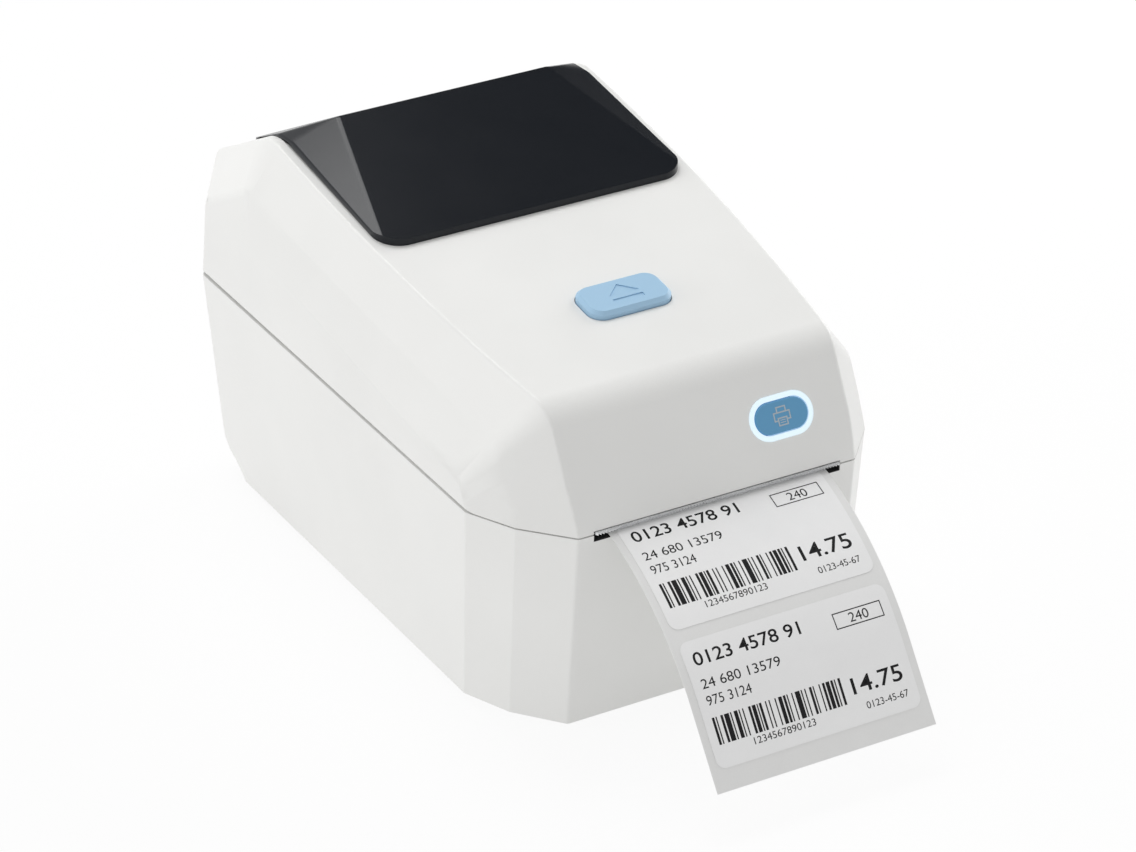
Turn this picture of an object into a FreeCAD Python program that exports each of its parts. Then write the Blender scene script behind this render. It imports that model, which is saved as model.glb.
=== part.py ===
import FreeCAD, Part
import math
import os
from FreeCAD import Vector

# All sizes are in mm. While drawing, y runs back from the front lip, z up from the underside of the
# case and x to the right as seen from the front; export moves every piece to the shared frame.

# Media: half the liner's width, from which the widths of print unit and case follow, and the labels.
LINER_HALF = 37.5
LINER_THICK = 0.2
LABEL_HALF = 35.0
LABEL_LONG = 38.0
LABEL_THICK = 0.1
GLUE_THICK = 0.05
LABEL_SPACE = 4.0
TAIL = 6.5

# Clearances.
SLIDE_GAP = 0.3
RUN_GAP = 0.04
SEAT_GAP = 0.4
WEB_GAP = 0.3
SCREW_GAP = 0.05
FLANGE_GAP = 0.8
FLOOR_GAP = 1.2
HINGE_GAP = 0.5
HOOK_GAP = 0.8
CATCH_GAP = 0.6
SPRING_GAP = 0.6

# Screws.
SCREW_R = 1.4
SCREW_HEAD_R = 2.6
SCREW_HEAD = 1.3
SCREW_LONG = 8.0
SMALL_SCREW_R = 1.0
SMALL_HEAD_R = 1.8
SMALL_HEAD = 0.9
SMALL_LONG = 4.0
MOTOR_SCREW_LONG = 2.4
TEAR_SCREW_LONG = 3.0
SCREW_SLOT = 0.6
BLIND = 1.0

# Roll holders with rack and pinion.
WALL = 2.6
HOLDER_THICK = 4.0
HOLDER_FLANGE_R = 24.0
HOLDER_HALF = 7.0
HOLDER_TRAVEL = 16.0
HUB_LONG = 8.0
HUB_CHAMFER = 1.5
RACK_MODULE = 1.0
RACK_TEETH = 16
RACK_TALL = 4.5
RACK_DEEP = 4.0
RACK_REACH = 24.0
RACK_STUD_R = 3.0
KEEPER_LAP = 1.5
KEEPER_THICK = 0.8

# Heights from the floor up: racks, channel, roll well, deck, web and parting line.
CHANNEL_TALL = 3.4
CHANNEL_HALF = 16.0
ROLL_R = 40.0
CORE_R = 14.5
CORE_BORE = 12.7
WELL_GAP = 4.0
ROLL_SINK = 6.5
DECK_THICK = 2.0
DECK_DROP = 1.9
WEB_DROP = 0.6
SEAM_GAP = 0.5
RACK_Z = WALL + FLOOR_GAP + SMALL_HEAD + KEEPER_THICK + SLIDE_GAP
CHANNEL_Z = RACK_Z + RACK_TALL + SLIDE_GAP
WELL_R = ROLL_R + WELL_GAP
ROLL_Z = CHANNEL_Z + CHANNEL_TALL + WELL_R
DECK_TOP = ROLL_Z + ROLL_SINK
DECK_LOW = DECK_TOP - DECK_THICK
WEB_Z = DECK_TOP + DECK_DROP
SEAM_Z = WEB_Z + WEB_DROP

# Distances back from the front lip: deck, roll well, roll and rear wall.
DECK_FRONT = 26.0
WELL_FRONT = 112.0
REAR_MARGIN = 13.0
ROLL_Y = WELL_FRONT + DECK_THICK + WELL_R
BODY_DEPTH = ROLL_Y + WELL_R + DECK_THICK + REAR_MARGIN

# Case form, plan at the parting line: half widths, then distances along the depth.
FRONT_MARGIN = 10.0
FACET_STEP = 13.0
SIDE_STEP = 7.9
REAR_FACET_STEP = 2.6
REAR_STEP = 8.8
FRONT_HALF = LINER_HALF + FRONT_MARGIN
FACET_HALF = FRONT_HALF + FACET_STEP
SIDE_HALF = FACET_HALF + SIDE_STEP
REAR_FACET_HALF = SIDE_HALF - REAR_FACET_STEP
REAR_HALF = REAR_FACET_HALF - REAR_STEP
FACET_Y = 14.5
SIDE_Y = 30.5
SIDE_END = 11.0
FACET_END = 7.0
FRONT_RAKE = 6.5
SIDE_DRAFT = 2.4
REAR_RAKE = 8.5
REAR_ROUND = 14.0
CORNER_SOFT = 1.5

# Lid form: raked front face, sloping top, back slope, and how far each band steps in.
FRONT_TILT = 27.3
TOP_SLOPE = 7.75
REAR_SLOPE = 28.0
LIP_Y = 4.8
LIP_RISE = 13.2
SIDE_LIP_RISE = 3.0
SLOPE_Y = 24.3
SLOPE_RISE = 36.7
REAR_TOP_RISE = 37.0
BAND_TOP = 15.0
BAND_FRONT = 15.5
SIDE_FRONT = 32.0
REAR_LEAN = 9.2
CREST_TAPER = 0.4
SHOULDER_STEP = 1.9
NOSE_FLARE = 0.8
TOP_FLARE = 1.7
BAND_NOSE_FLARE = 0.1
BAND_FLARE = 0.3
CREST_BOW = 2.9
CREST_ROUNDS = (12.0, 20.0, 6.0)
SHOULDER_ROUNDS = (8.0, 8.0, 4.0)
SIDE_ROUNDS = (5.0, 6.0, 3.0)
EDGE_SOFT = 1.6
LIP_Z = SEAM_Z + LIP_RISE
SIDE_LIP_Z = SEAM_Z + SIDE_LIP_RISE
SLOPE_Z = SEAM_Z + SLOPE_RISE
REAR_TOP_Z = SEAM_Z + REAR_TOP_RISE
CREST_HALF = REAR_HALF - CREST_TAPER
SHOULDER_HALF = SIDE_HALF - SHOULDER_STEP

# Underside: hatch, bosses and feet.
HATCH_HALF = 44.0
HATCH_FRONT = 44.0
HATCH_LENGTH = 90.0
HATCH_THICK = 1.4
HATCH_LEDGE = 4.0
BOSS_R = 4.0
BOSS_TALL = 8.0
DECK_BOSS_IN = 14.4
DECK_BOSS_FRONT = 14.0
DECK_BOSS_BACK = 10.0
STANDOFF_R = 3.0
FOOT_R = 7.0
FOOT_TALL = 2.0
FOOT_SEAT = 0.6
FOOT_FRONT_IN = 22.4
FOOT_FRONT_Y = 28.0
FOOT_REAR_IN = 14.4
FOOT_REAR_END = 49.0

# Gap sensor in the deck.
SENSOR_Y = 34.0
SENSOR_WIDE = 14.0
SENSOR_LONG = 8.0
SENSOR_DEEP = 3.0
SENSOR_EYE_R = 1.2
SENSOR_EYE_X = 3.5
SENSOR_EYE_DEEP = 0.6

# Path of the web outside the slot.
EXIT_Y = 4.0
EXIT_BEND_R = 16.0
EXIT_DROP = 18.0
HANG_BEND_R = 92.0
HANG_DROP = 54.0
HANG_STRAIGHT = 26.0

# Platen, gear train and steel frame.
PLATEN_Y = 16.0
PLATEN_R = 7.5
PLATEN_LAP = 3.0
SHAFT_R = 3.0
SHAFT_END = 0.6
SHAFT_TAIL = 1.2
CHEEK_SPACE = 5.0
CHEEK_THICK = 1.5
BUSH_R = 4.5
BUSH_FLANGE_R = 5.5
BUSH_FLANGE = 1.0
BUSH_PROUD = 0.5
GEAR_MODULE = 0.6
GEAR_FACE = 3.6
GEAR_STAND = 1.6
BACKLASH = 0.16
PLATEN_TEETH = 24
IDLER_TEETH = 36
PINION_TEETH = 14
IDLER_ANGLE = -60.0
PINION_ANGLE = -14.0
STUD_R = 2.0
STUD_LAP = 1.2
STUD_HEAD = 0.8
MOTOR_R = 17.5
MOTOR_LONG = 24.0
MOTOR_SOFT = 1.0
MOTOR_SHAFT_R = 1.25
MOTOR_SHAFT_DEEP = 10.0
MOTOR_BOSS_R = 5.0
MOTOR_EAR = 20.0
MOTOR_EAR_R = 4.0
MOTOR_EAR_THICK = 1.0
FRAME_FRONT = 9.0
FRAME_BACK = 62.0
FRAME_LOW = 20.0
FRAME_TIE = 11.0
TAB_WIDE = 10.0
TAB_LONG = 14.0
TAB_SCREW_IN = 6.0
TAB_SCREWS = (10.0, 4.0)
PLATEN_HALF = LINER_HALF + PLATEN_LAP
CHEEK_IN = LINER_HALF + CHEEK_SPACE

# Print head, its pivot, the hold-down rod and the tear bar.
HEAD_FRONT = 8.5
CERAMIC_BACK = 28.0
CERAMIC_THICK = 1.0
SINK_BACK = 31.0
SINK_THICK = 5.1
SINK_GROOVE = 2.0
SINK_GROOVE_IN = 0.5
SINK_GROOVE_DEEP = 1.8
SINK_GROOVE_FRONT = 4.0
BRACKET_LAP = 0.5
BRACKET_THICK = 1.5
BRACKET_FRONT = 3.0
BRACKET_BACK = 2.0
PIVOT_Y = 38.0
PIVOT_R = 1.5
LUG_R = 2.6
LUG_THICK = 3.0
HEAD_SPRING_X = 28.0
HEAD_SPRING_Y = 26.5
HEAD_SPRING_R = 2.6
HEAD_SPRING_TURNS = 4
SPRING_WIRE = 0.8
HOLD_Y = 66.0
HOLD_R = 2.5
HOLD_EAR_GAP = 1.2
SLOT_MARGIN = 4.5
SLOT_DROP = 2.2
TEAR_TIP = 1.0
TEAR_THICK = 0.8
TEAR_BACK = 6.4
TEAR_TALL = 5.0
TEAR_SCREW_X = 29.0
TEAR_SCREW_RISE = 0.6
TEAR_BLOCK_HALF = 5.0
TOOTH_PITCH = 1.0
TOOTH_DEEP = 0.9
HEAD_HALF = LINER_HALF + PLATEN_LAP
BRACKET_HALF = LINER_HALF + BRACKET_LAP
SLOT_HALF = LINER_HALF + SLOT_MARGIN

# Inner frame of the lid and the opening latch.
FRAME_RISE = 9.0
FRAME_THICK = 2.0
LEDGE_RISE = 8.0
LEDGE_FRONT = 20.5
RISER_Y = 32.0
LID_FRAME_BACK = 86.0
LID_FRAME_IN = 12.4
LID_BOSS_IN = 26.4
LID_BOSS_FRONT = 28.0
LID_BOSS_BACK = 77.0
EAR_THICK = 2.5
EAR_GAP = 1.0
HEAD_EAR_HALF = 3.4
EAR_HALF = 4.0
EAR_LAP = 3.0
BAR_EAR_TOP = 3.6
LATCH_Y = 50.0
LATCH_RISE = 10.0
LATCH_BAR_R = 2.0
LATCH_EAR_GAP = 2.1
LATCH_END = 3.0
HOOK_SPACE = 2.9
HOOK_THICK = 2.5
HOOK_BACK = 3.5
HOOK_FRONT = 2.8
HOOK_TOP = 2.5
HOOK_NOSE = 3.5
HOOK_LEVER = 6.0
HOOK_SWING = 9.0
HOOK_RETURN = 6.0
TRAY_SWING = 2.0
NOSE_TIP = 1.0
NOSE_TALL = 3.0
CATCH_Y = 53.0
CATCH_DROP = 10.0
CATCH_PROUD = 0.6
OPEN_Y = 56.05
OPEN_WIDE = 28.4
OPEN_LONG = 15.5
OPEN_CORNER = 5.0
OPEN_PROUD = 2.5
OPEN_TRAVEL = 2.0
OPEN_EDGE = 1.1
OPEN_DEEP = 2.0
SKIRT_LAP = 1.5
SKIRT_THICK = 1.8
STEM_LONG = 15.3
STEM_HALF = 4.0
STEM_FRONT = 0.1
STEM_BACK = 4.3
PAD_GAP = 0.45
OPEN_SPRING_X = 10.0
OPEN_SPRING_R = 2.8
OPEN_SPRING_TURNS = 7
OPEN_SPRING_LIFT = 1.2
OPEN_SPRING_FREE = 2.2
LEVER_HALF = 5.0
LEVER_LONG = 3.0
LEVER_THICK = 2.4
FRAME_Z = SEAM_Z + FRAME_RISE
LATCH_Z = FRAME_Z + LATCH_RISE
CATCH_Z = SEAM_Z - CATCH_DROP
HOOK_LOW = CATCH_Z - HOOK_NOSE
HOOK_X = CHEEK_IN + HOOK_SPACE
LATCH_EAR = HOOK_X + HOOK_THICK + LATCH_EAR_GAP
LID_FRAME_HALF = SIDE_HALF - LID_FRAME_IN
LID_BOSS_X = SIDE_HALF - LID_BOSS_IN

# Feed button with its light ring, board and switch.
FEED_X = 25.5
FEED_RISE = 4.3
RING_WIDE = 21.8
RING_TALL = 13.3
RING_BAND = 1.6
RING_PROUD = 0.3
RING_DEEP = 1.5
RING_LAP = 1.2
RING_SEAT = 0.4
FEED_PROUD = 0.6
FEED_TRAVEL = 0.8
FEED_SOFT = 0.4
FEED_DEEP = 2.4
FEED_STOP = 2.8
FEED_STOP_LAP = 0.8
FEED_STOP_TOP = 1.8
PLUNGER_R = 2.0
PLUNGER_DEEP = 3.4
BOARD_DEPTH = 9.6
BOARD_THICK = 1.6
BUTTON_BOARD_HALF = 17.0
BUTTON_BOARD_LOW = 4.5
BUTTON_BOARD_HIGH = 9.5
BUTTON_POST_X = 14.5
BUTTON_POST_R = 2.0
SWITCH_HALF = 3.0
SWITCH_KEY_R = 1.6
SWITCH_KEY = 0.6
FEED_Z = LIP_Z + FEED_RISE

# Window cover over the roll bay.
WINDOW_EDGE = 3.1
WINDOW_LEAD = 5.0
WINDOW_TAIL = 16.0
WINDOW_CORNER = 9.0
WINDOW_RIM = 2.2
WINDOW_CREST_RIM = 0.2
WINDOW_BACK_RIM = 0.8
WINDOW_LAP = 5.0
WINDOW_BACK_LAP = 11.0
WINDOW_WALL = 2.0
RIDGE_BEHIND = 10.2
RIDGE_RISE = 64.2
WINDOW_HALF = CREST_HALF - WINDOW_EDGE
WINDOW_FRONT = WELL_FRONT - WINDOW_LEAD
WINDOW_BACK = BODY_DEPTH - WINDOW_TAIL
RIDGE_HALF = LINER_HALF
RIDGE_Y = ROLL_Y + RIDGE_BEHIND
RIDGE_Z = SEAM_Z + RIDGE_RISE

# Lid hinge.
PIN_R = 1.5
KNUCKLE_R = 3.2
KNUCKLE_X = 28.5
KNUCKLE_END = 5.0
KNUCKLE_MID = 13.0
LEAF_TALL = 10.0
LEAF_THICK = 1.6

# Electronics.
MAIN_BOARD_HALF = 36.0
MAIN_BOARD_FRONT = 56.0
MAIN_BOARD_LONG = 66.0
MAIN_BOARD_Z = 8.0
BOARD_EDGE = 4.0
CHIP_X = -3.0
CHIP_HALF = 7.0
CHIP_TALL = 1.6
DRIVER_X = 16.0
DRIVER_HALF = 4.0
DRIVER_TALL = 1.4
CHIP_BEHIND = 33.0
HEADER_X = 16.5
HEADER_HALF = 8.5
HEADER_LONG = 6.0
HEADER_IN = 2.0
HEADER_TALL = 6.0
CAPACITOR_R = 3.5
CAPACITOR_TALL = 9.0
CAPACITOR_IN = 14.0
CAPACITOR_X = (-20.0, -10.0, 14.0)
PORT_BOARD_HALF = 30.0
PORT_BOARD_LONG = 17.0
PORT_BOARD_INSET = 29.0
PORT_BOARD_Z = 9.0
USB_X = -16.0
USB_WIDE = 12.0
USB_TALL = 10.9
USB_LONG = 16.0
USB_WALL = 1.4
USB_DEEP = 9.0
TONGUE_HALF = 2.8
TONGUE_SHORT = 1.0
TONGUE_TALL = 3.1
JACK_X = 15.0
JACK_WIDE = 9.0
JACK_TALL = 11.0
JACK_LONG = 14.0
JACK_BORE = 2.85
JACK_PIN = 1.0
JACK_DEEP = 10.0
JACK_PIN_LONG = 8.5

# Sizes that follow from the ones above.
SEAM_TOP = SEAM_Z + SEAM_GAP / 2
SEAM_LOW = SEAM_Z - SEAM_GAP / 2
WEB_TOP = WEB_Z + LINER_THICK
PLATEN_Z = WEB_Z - WEB_GAP - PLATEN_R
GEAR_X = CHEEK_IN + CHEEK_THICK + GEAR_STAND
CERAMIC_Z = WEB_TOP + WEB_GAP
SINK_Z = CERAMIC_Z + CERAMIC_THICK
BRACKET_Z = SINK_Z + SINK_THICK
HOLD_Z = WEB_TOP + WEB_GAP + HOLD_R
HOLDER_X = LINER_HALF + FLANGE_GAP
RACK_PITCH_R = RACK_MODULE * RACK_TEETH / 2
LEDGE_Z = FRAME_Z + LEDGE_RISE


def box(x0, x1, y0, y1, z0, z1):
    return Part.makeBox(x1 - x0, y1 - y0, z1 - z0, Vector(x0, y0, z0))


def rod(radius, x0, x1, y, z):
    """Cylinder along x."""
    return Part.makeCylinder(radius, x1 - x0, Vector(x0, y, z), Vector(1, 0, 0))


def post(radius, x, y, z0, z1):
    """Cylinder along z."""
    return Part.makeCylinder(radius, z1 - z0, Vector(x, y, z0))


def polygon(points):
    return Part.Face(Part.makePolygon(points + [points[0]]))


def prism(outline, x0, x1):
    """Outline of (y, z) points drawn out along x."""
    return polygon([Vector(x0, y, z) for y, z in outline]).extrude(Vector(x1 - x0, 0, 0))


def flipped(shape):
    return shape.mirror(Vector(0, 0, 0), Vector(1, 0, 0))


def both(shape):
    return [shape, flipped(shape)]


def joined(shapes):
    return shapes[0].multiFuse(shapes[1:]).removeSplitter()


def without(shape, cuts):
    return shape.cut(cuts)


def group(shapes):
    return Part.makeCompound(shapes)


def save(name, shape):
    moved = shape.copy()
    moved.translate(Vector(0, -middle_y, FOOT_TALL))
    moved.exportStep("parts/" + name + ".step")


def meet(p, a, q, b):
    """Point where the line through p at angle a meets the line through q at angle b."""
    cross = math.sin(b - a)
    s = ((q[0] - p[0]) * math.sin(b) - (q[1] - p[1]) * math.cos(b)) / cross
    return (p[0] + s * math.cos(a), p[1] + s * math.sin(a))


def inset(outline, gap):
    """Closed outline, counter-clockwise, with every edge moved inward by gap."""
    edges = []
    for p, q in zip(outline, outline[1:] + outline[:1]):
        a = math.atan2(q[1] - p[1], q[0] - p[0])
        edges.append(((p[0] - gap * math.sin(a), p[1] + gap * math.cos(a)), a))
    return [meet(*edges[i - 1], *edges[i]) for i in range(len(edges))]


def rounded(before, corner, after, radius):
    """First, middle and last point of an arc that rounds a corner."""
    u = Vector(before[0] - corner[0], before[1] - corner[1], 0).normalize()
    v = Vector(after[0] - corner[0], after[1] - corner[1], 0).normalize()
    half = u.getAngle(v) / 2
    along = radius / math.tan(half)
    middle = (u + v).normalize() * (radius / math.sin(half) - radius)
    ends = [(corner[0] + d.x * along, corner[1] + d.y * along) for d in (u, v)]
    return [ends[0], (corner[0] + middle.x, corner[1] + middle.y), ends[1]]


def rounded_plate(wide, tall, radius, z0, z1):
    """Rectangle with round corners, centred on the origin, drawn out along z."""
    plate = box(-wide / 2, wide / 2, -tall / 2, tall / 2, z0, z1)
    upright = [e for e in plate.Edges if e.BoundBox.ZLength > (z1 - z0) / 2]
    return plate.makeFillet(min(radius, tall / 2 - 0.01), upright)


def case_plan(z):
    """Outline of the lower case at height z."""
    rise = 1 - z / SEAM_Z
    front = FRONT_RAKE * rise
    rear = BODY_DEPTH - REAR_RAKE * rise
    side = SIDE_DRAFT * rise
    half = [
        (FRONT_HALF, front),
        (FACET_HALF - side / 2, FACET_Y + front),
        (SIDE_HALF - side, SIDE_Y + front),
        (SIDE_HALF - side, rear - SIDE_END),
        (REAR_FACET_HALF - side, rear - FACET_END),
        (REAR_HALF - side, rear),
    ]
    return half + [(-x, y) for x, y in reversed(half)]


def case_form(gap, z0, z1, rear_round):
    """Solid of the lower case between two heights, with its walls moved in by gap."""
    wires = []
    for z in (z0, z1):
        ring = [Vector(x, y, z) for x, y in inset(case_plan(z), gap)]
        wires.append(Part.makePolygon(ring + [ring[0]]))
    solid = Part.makeLoft(wires, True, True)
    low = [e for e in solid.Edges if e.BoundBox.ZMax < z0 + 0.01]
    rear = [e for e in low if e.BoundBox.YMin > BODY_DEPTH * 0.8]
    return solid.makeFillet(rear_round, rear)


# Each band of the lid: seam distances, steps, corner radii and half widths along its edge.
LID_EDGES = [
    dict(front=0.0, back=0.0, tilt=0.0, top=0.0, lip=LIP_Z, lean=0.0, radii=CREST_ROUNDS, bow=CREST_BOW,
         half=(FRONT_HALF, FRONT_HALF + NOSE_FLARE, FRONT_HALF + TOP_FLARE, CREST_HALF, REAR_HALF,
               REAR_HALF)),
    dict(front=FACET_Y, back=FACET_END, tilt=BAND_FRONT, top=BAND_TOP, lip=LIP_Z, lean=REAR_LEAN,
         radii=SHOULDER_ROUNDS, bow=0.0,
         half=(FACET_HALF, FACET_HALF + BAND_NOSE_FLARE, FACET_HALF + BAND_FLARE, SHOULDER_HALF,
               SHOULDER_HALF,
               REAR_FACET_HALF)),
    dict(front=SIDE_Y, back=SIDE_END, tilt=SIDE_FRONT, top=2 * BAND_TOP, lip=SIDE_LIP_Z, lean=REAR_LEAN,
         radii=SIDE_ROUNDS, bow=0.0, half=(SIDE_HALF,) * 6),
]


def top_z(y, gap=0.0):
    """Height of the sloping top, moved in by gap."""
    rise = math.radians(TOP_SLOPE)
    return SLOPE_Z + (y - SLOPE_Y) * math.tan(rise) - gap / math.cos(rise)


def back_z(y, gap=0.0):
    """Height of the back slope, moved in by gap."""
    fall = math.radians(REAR_SLOPE)
    return REAR_TOP_Z + (BODY_DEPTH - y) * math.tan(fall) - gap / math.cos(fall)


def lid_edge(band, gap, z0):
    """The eight edges of one band line, from the front of the seam over the top to its back."""
    tilt = math.radians(90 - FRONT_TILT)
    rise = math.radians(TOP_SLOPE)
    fall = math.radians(-REAR_SLOPE)
    step = band["top"] + gap
    half = [h - gap for h in band["half"]]
    start = (band["front"] + gap, z0)
    lip_y = LIP_Y + band["tilt"] + gap / math.sin(tilt) - (LIP_Z - band["lip"]) / math.tan(tilt)
    lip = (lip_y, band["lip"])
    rear = BODY_DEPTH - band["back"] - gap
    on_top = (SLOPE_Y, top_z(SLOPE_Y, step))
    on_back = (BODY_DEPTH, back_z(BODY_DEPTH, step))
    nose = meet(lip, tilt, on_top, rise)
    crest = meet(on_top, rise, on_back, fall)
    heel = meet(crest, fall, (rear, SEAM_Z), math.radians(90 + band["lean"]))
    end = (rear, z0)
    n = rounded(lip, nose, crest, band["radii"][0])
    c = rounded(nose, crest, heel, band["radii"][1])
    h = rounded(crest, heel, end, band["radii"][2])
    turn = tilt - math.atan2(lip[1] - start[1], lip[0] - start[0])
    sag = math.tan(turn / 2) / 2
    belly = ((start[0] + lip[0]) / 2 + (lip[1] - start[1]) * sag,
             (start[1] + lip[1]) / 2 - (lip[0] - start[0]) * sag)
    middle = ((n[2][0] + c[0][0]) / 2, (n[2][1] + c[0][1]) / 2)

    def at(x, p):
        return Vector(x, p[0], p[1])

    def arc(p, q, r):
        return Part.Arc(p, q, r).toShape()

    def line(p, q):
        return Part.LineSegment(p, q).toShape()

    slope_ends = (at(half[2], n[2]), at(half[3], c[0]))
    slope = line(*slope_ends)
    if band["bow"]:
        slope = arc(slope_ends[0], at((half[2] + half[3]) / 2 + band["bow"], middle), slope_ends[1])
    return [
        arc(at(half[0], start), at((half[0] + half[1]) / 2, belly), at(half[1], lip)),
        line(at(half[1], lip), at(half[1], n[0])),
        arc(at(half[1], n[0]), at((half[1] + half[2]) / 2, n[1]), at(half[2], n[2])),
        slope,
        arc(at(half[3], c[0]), at((half[3] + half[4]) / 2, c[1]), at(half[4], c[2])),
        line(at(half[4], c[2]), at(half[4], h[0])),
        arc(at(half[4], h[0]), at(half[4], h[1]), at(half[4], h[2])),
        line(at(half[4], h[2]), at(half[5], end)),
    ]


def lid_form(gap, z0):
    """Solid of the lid above z0, with its walls moved in by gap."""
    crest, shoulder, side = (lid_edge(band, gap, z0) for band in LID_EDGES)
    faces = [Part.makeRuledSurface(e, flipped(e)) for e in crest]
    for upper, lower in ((crest, shoulder), (shoulder, side)):
        for e, f in zip(upper, lower):
            faces += both(Part.makeRuledSurface(e, f))
    ends = [(edges[0].Vertexes[0].Point, edges[-1].Vertexes[-1].Point) for edges in (crest, shoulder, side)]
    seam = Part.LineSegment(ends[2][1], ends[2][0]).toShape()
    faces += both(Part.Face(Part.Wire(side + [seam])))
    half = [front for front, _ in ends] + [back for _, back in reversed(ends)]
    faces.append(polygon(half + [Vector(-p.x, p.y, p.z) for p in reversed(half)]))
    shell = Part.makeShell(faces)
    shell.sewShape()
    solid = Part.makeSolid(shell)
    if solid.Volume < 0:
        solid.reverse()
    return solid


def on_top(shape, y):
    """Piece drawn flat with z outward, set on the sloping top at distance y."""
    shape.rotate(Vector(), Vector(1, 0, 0), TOP_SLOPE)
    shape.translate(Vector(0, y, top_z(y)))
    return shape


def on_front(shape):
    """Piece drawn flat with z outward, set on the raked front face at the feed button."""
    shape.rotate(Vector(), Vector(1, 0, 0), 90 - FRONT_TILT)
    y = LIP_Y + (FEED_Z - LIP_Z) * math.tan(math.radians(FRONT_TILT))
    shape.translate(Vector(FEED_X, y, FEED_Z))
    return shape


def gear_points(teeth, module, phase):
    """Involute outline; phase is the angle in degrees of one tooth's middle."""
    pitch = module * teeth / 2
    base = pitch * math.cos(math.radians(20))
    root = pitch - 1.25 * module
    tip = pitch + 0.95 * module
    low = max(root, base)
    radii = [low + (tip - low) * i / 3 for i in range(4)]
    wide = math.pi / (2 * teeth) - BACKLASH / (2 * pitch) + math.tan(math.radians(20)) - math.radians(20)
    flank = [(r, wide - math.tan(math.acos(base / r)) + math.acos(base / r)) for r in radii]
    flank = [(root, flank[0][1])] + flank if root < base else flank
    points = []
    for tooth in range(teeth):
        middle = math.radians(phase) + 2 * math.pi * tooth / teeth
        for r, a in [(r, -a) for r, a in flank] + list(reversed(flank)):
            points.append((r * math.cos(middle + a), r * math.sin(middle + a)))
    return points


def side_gear(teeth, phase, y, z, bore):
    """Spur gear of the drive train, turning about x."""
    outline = [(y + u, z + v) for u, v in gear_points(teeth, GEAR_MODULE, phase)]
    disc = prism(outline, GEAR_X, GEAR_X + GEAR_FACE)
    return disc.cut(rod(bore, GEAR_X - 1, GEAR_X + GEAR_FACE + 1, y, z))


def next_phase(teeth, phase, mate_teeth, direction):
    """Phase of a gear that meshes with one of given teeth and phase, lying in a direction."""
    offset = phase - direction
    return direction + 180 - offset * teeth / mate_teeth + 180.0 / mate_teeth


def coil(radius, wire, tall, turns):
    """Spring standing on the origin along z, one unbroken tube."""
    spine = Part.makeHelix(tall / turns, tall, radius)
    first, second = ([Vector(radius * math.cos(a), radius * math.sin(a), tall * a / (2 * math.pi * turns))
                      for a in [math.pi * (i / 24 + lap) for i in range(49)]] for lap in (0, 2))
    gap = min((p - q).Length for p in first for q in second if abs(p.z - q.z) > tall / turns / 2) - wire
    print("least gap between the turns of a spring: %.2f mm" % gap)
    climb = Vector(0, 2 * math.pi * radius, tall / turns)
    ring = Part.Wire(Part.makeCircle(wire / 2, Vector(radius, 0, 0), climb))
    return Part.Wire(spine).makePipeShell([ring], True, True)


def screw(radius, head_radius, head, length, x, y, z, down=True):
    """Cross-head screw; z is the seat of its head, the shank runs down or up from there."""
    body = post(head_radius, 0, 0, 0, head).fuse(post(radius, 0, 0, -length, 0))
    arm = head_radius * 0.6
    slit = SCREW_SLOT / 2
    slots = [box(-arm, arm, -slit, slit, head / 2, 2 * head),
             box(-slit, slit, -arm, arm, head / 2, 2 * head)]
    body = without(body, slots)
    if not down:
        body.rotate(Vector(), Vector(1, 0, 0), 180)
    body.translate(Vector(x, y, z))
    return body


def x_screw(radius, head_radius, head, length, x, y, z):
    """Cross-head screw along x with its head outward of x."""
    body = screw(radius, head_radius, head, length, 0, 0, 0)
    body.rotate(Vector(), Vector(0, 1, 0), 90)
    body.translate(Vector(x, y, z))
    return body


def paper_path():
    """Middle line of the web as (y, z, heading, length, turn) pieces from the roll to the free end."""
    bend = HOLD_R + WEB_GAP + LINER_THICK
    span = math.hypot(ROLL_Y - HOLD_Y, ROLL_Z - HOLD_Z)
    lie = math.atan2(ROLL_Z - HOLD_Z, ROLL_Y - HOLD_Y)
    rise = lie + math.asin((ROLL_R + WEB_GAP + bend) / span)
    reach = math.sqrt(span ** 2 - (ROLL_R + WEB_GAP + bend) ** 2)
    pieces = [
        (reach, 0.0),
        (bend * rise, -rise),
        (HOLD_Y - EXIT_Y, 0.0),
        (EXIT_BEND_R * math.radians(EXIT_DROP), math.radians(EXIT_DROP)),
        (HANG_BEND_R * math.radians(HANG_DROP - EXIT_DROP), math.radians(HANG_DROP - EXIT_DROP)),
        (HANG_STRAIGHT, 0.0),
    ]
    heading = math.pi + rise
    y = ROLL_Y - (ROLL_R + WEB_GAP) * math.sin(rise)
    z = ROLL_Z + (ROLL_R + WEB_GAP) * math.cos(rise)
    path = []
    for length, turn in pieces:
        path.append((y, z, heading, length, turn))
        y, z, heading = along(path[-1], length)
    return path


def along(piece, distance):
    """Point and heading a distance along one piece of the paper path."""
    y, z, heading, length, turn = piece
    if not turn:
        return y + distance * math.cos(heading), z + distance * math.sin(heading), heading
    radius = length / turn
    end = heading + distance / radius
    return (y + radius * (math.sin(end) - math.sin(heading)),
            z - radius * (math.cos(end) - math.cos(heading)), end)


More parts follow.
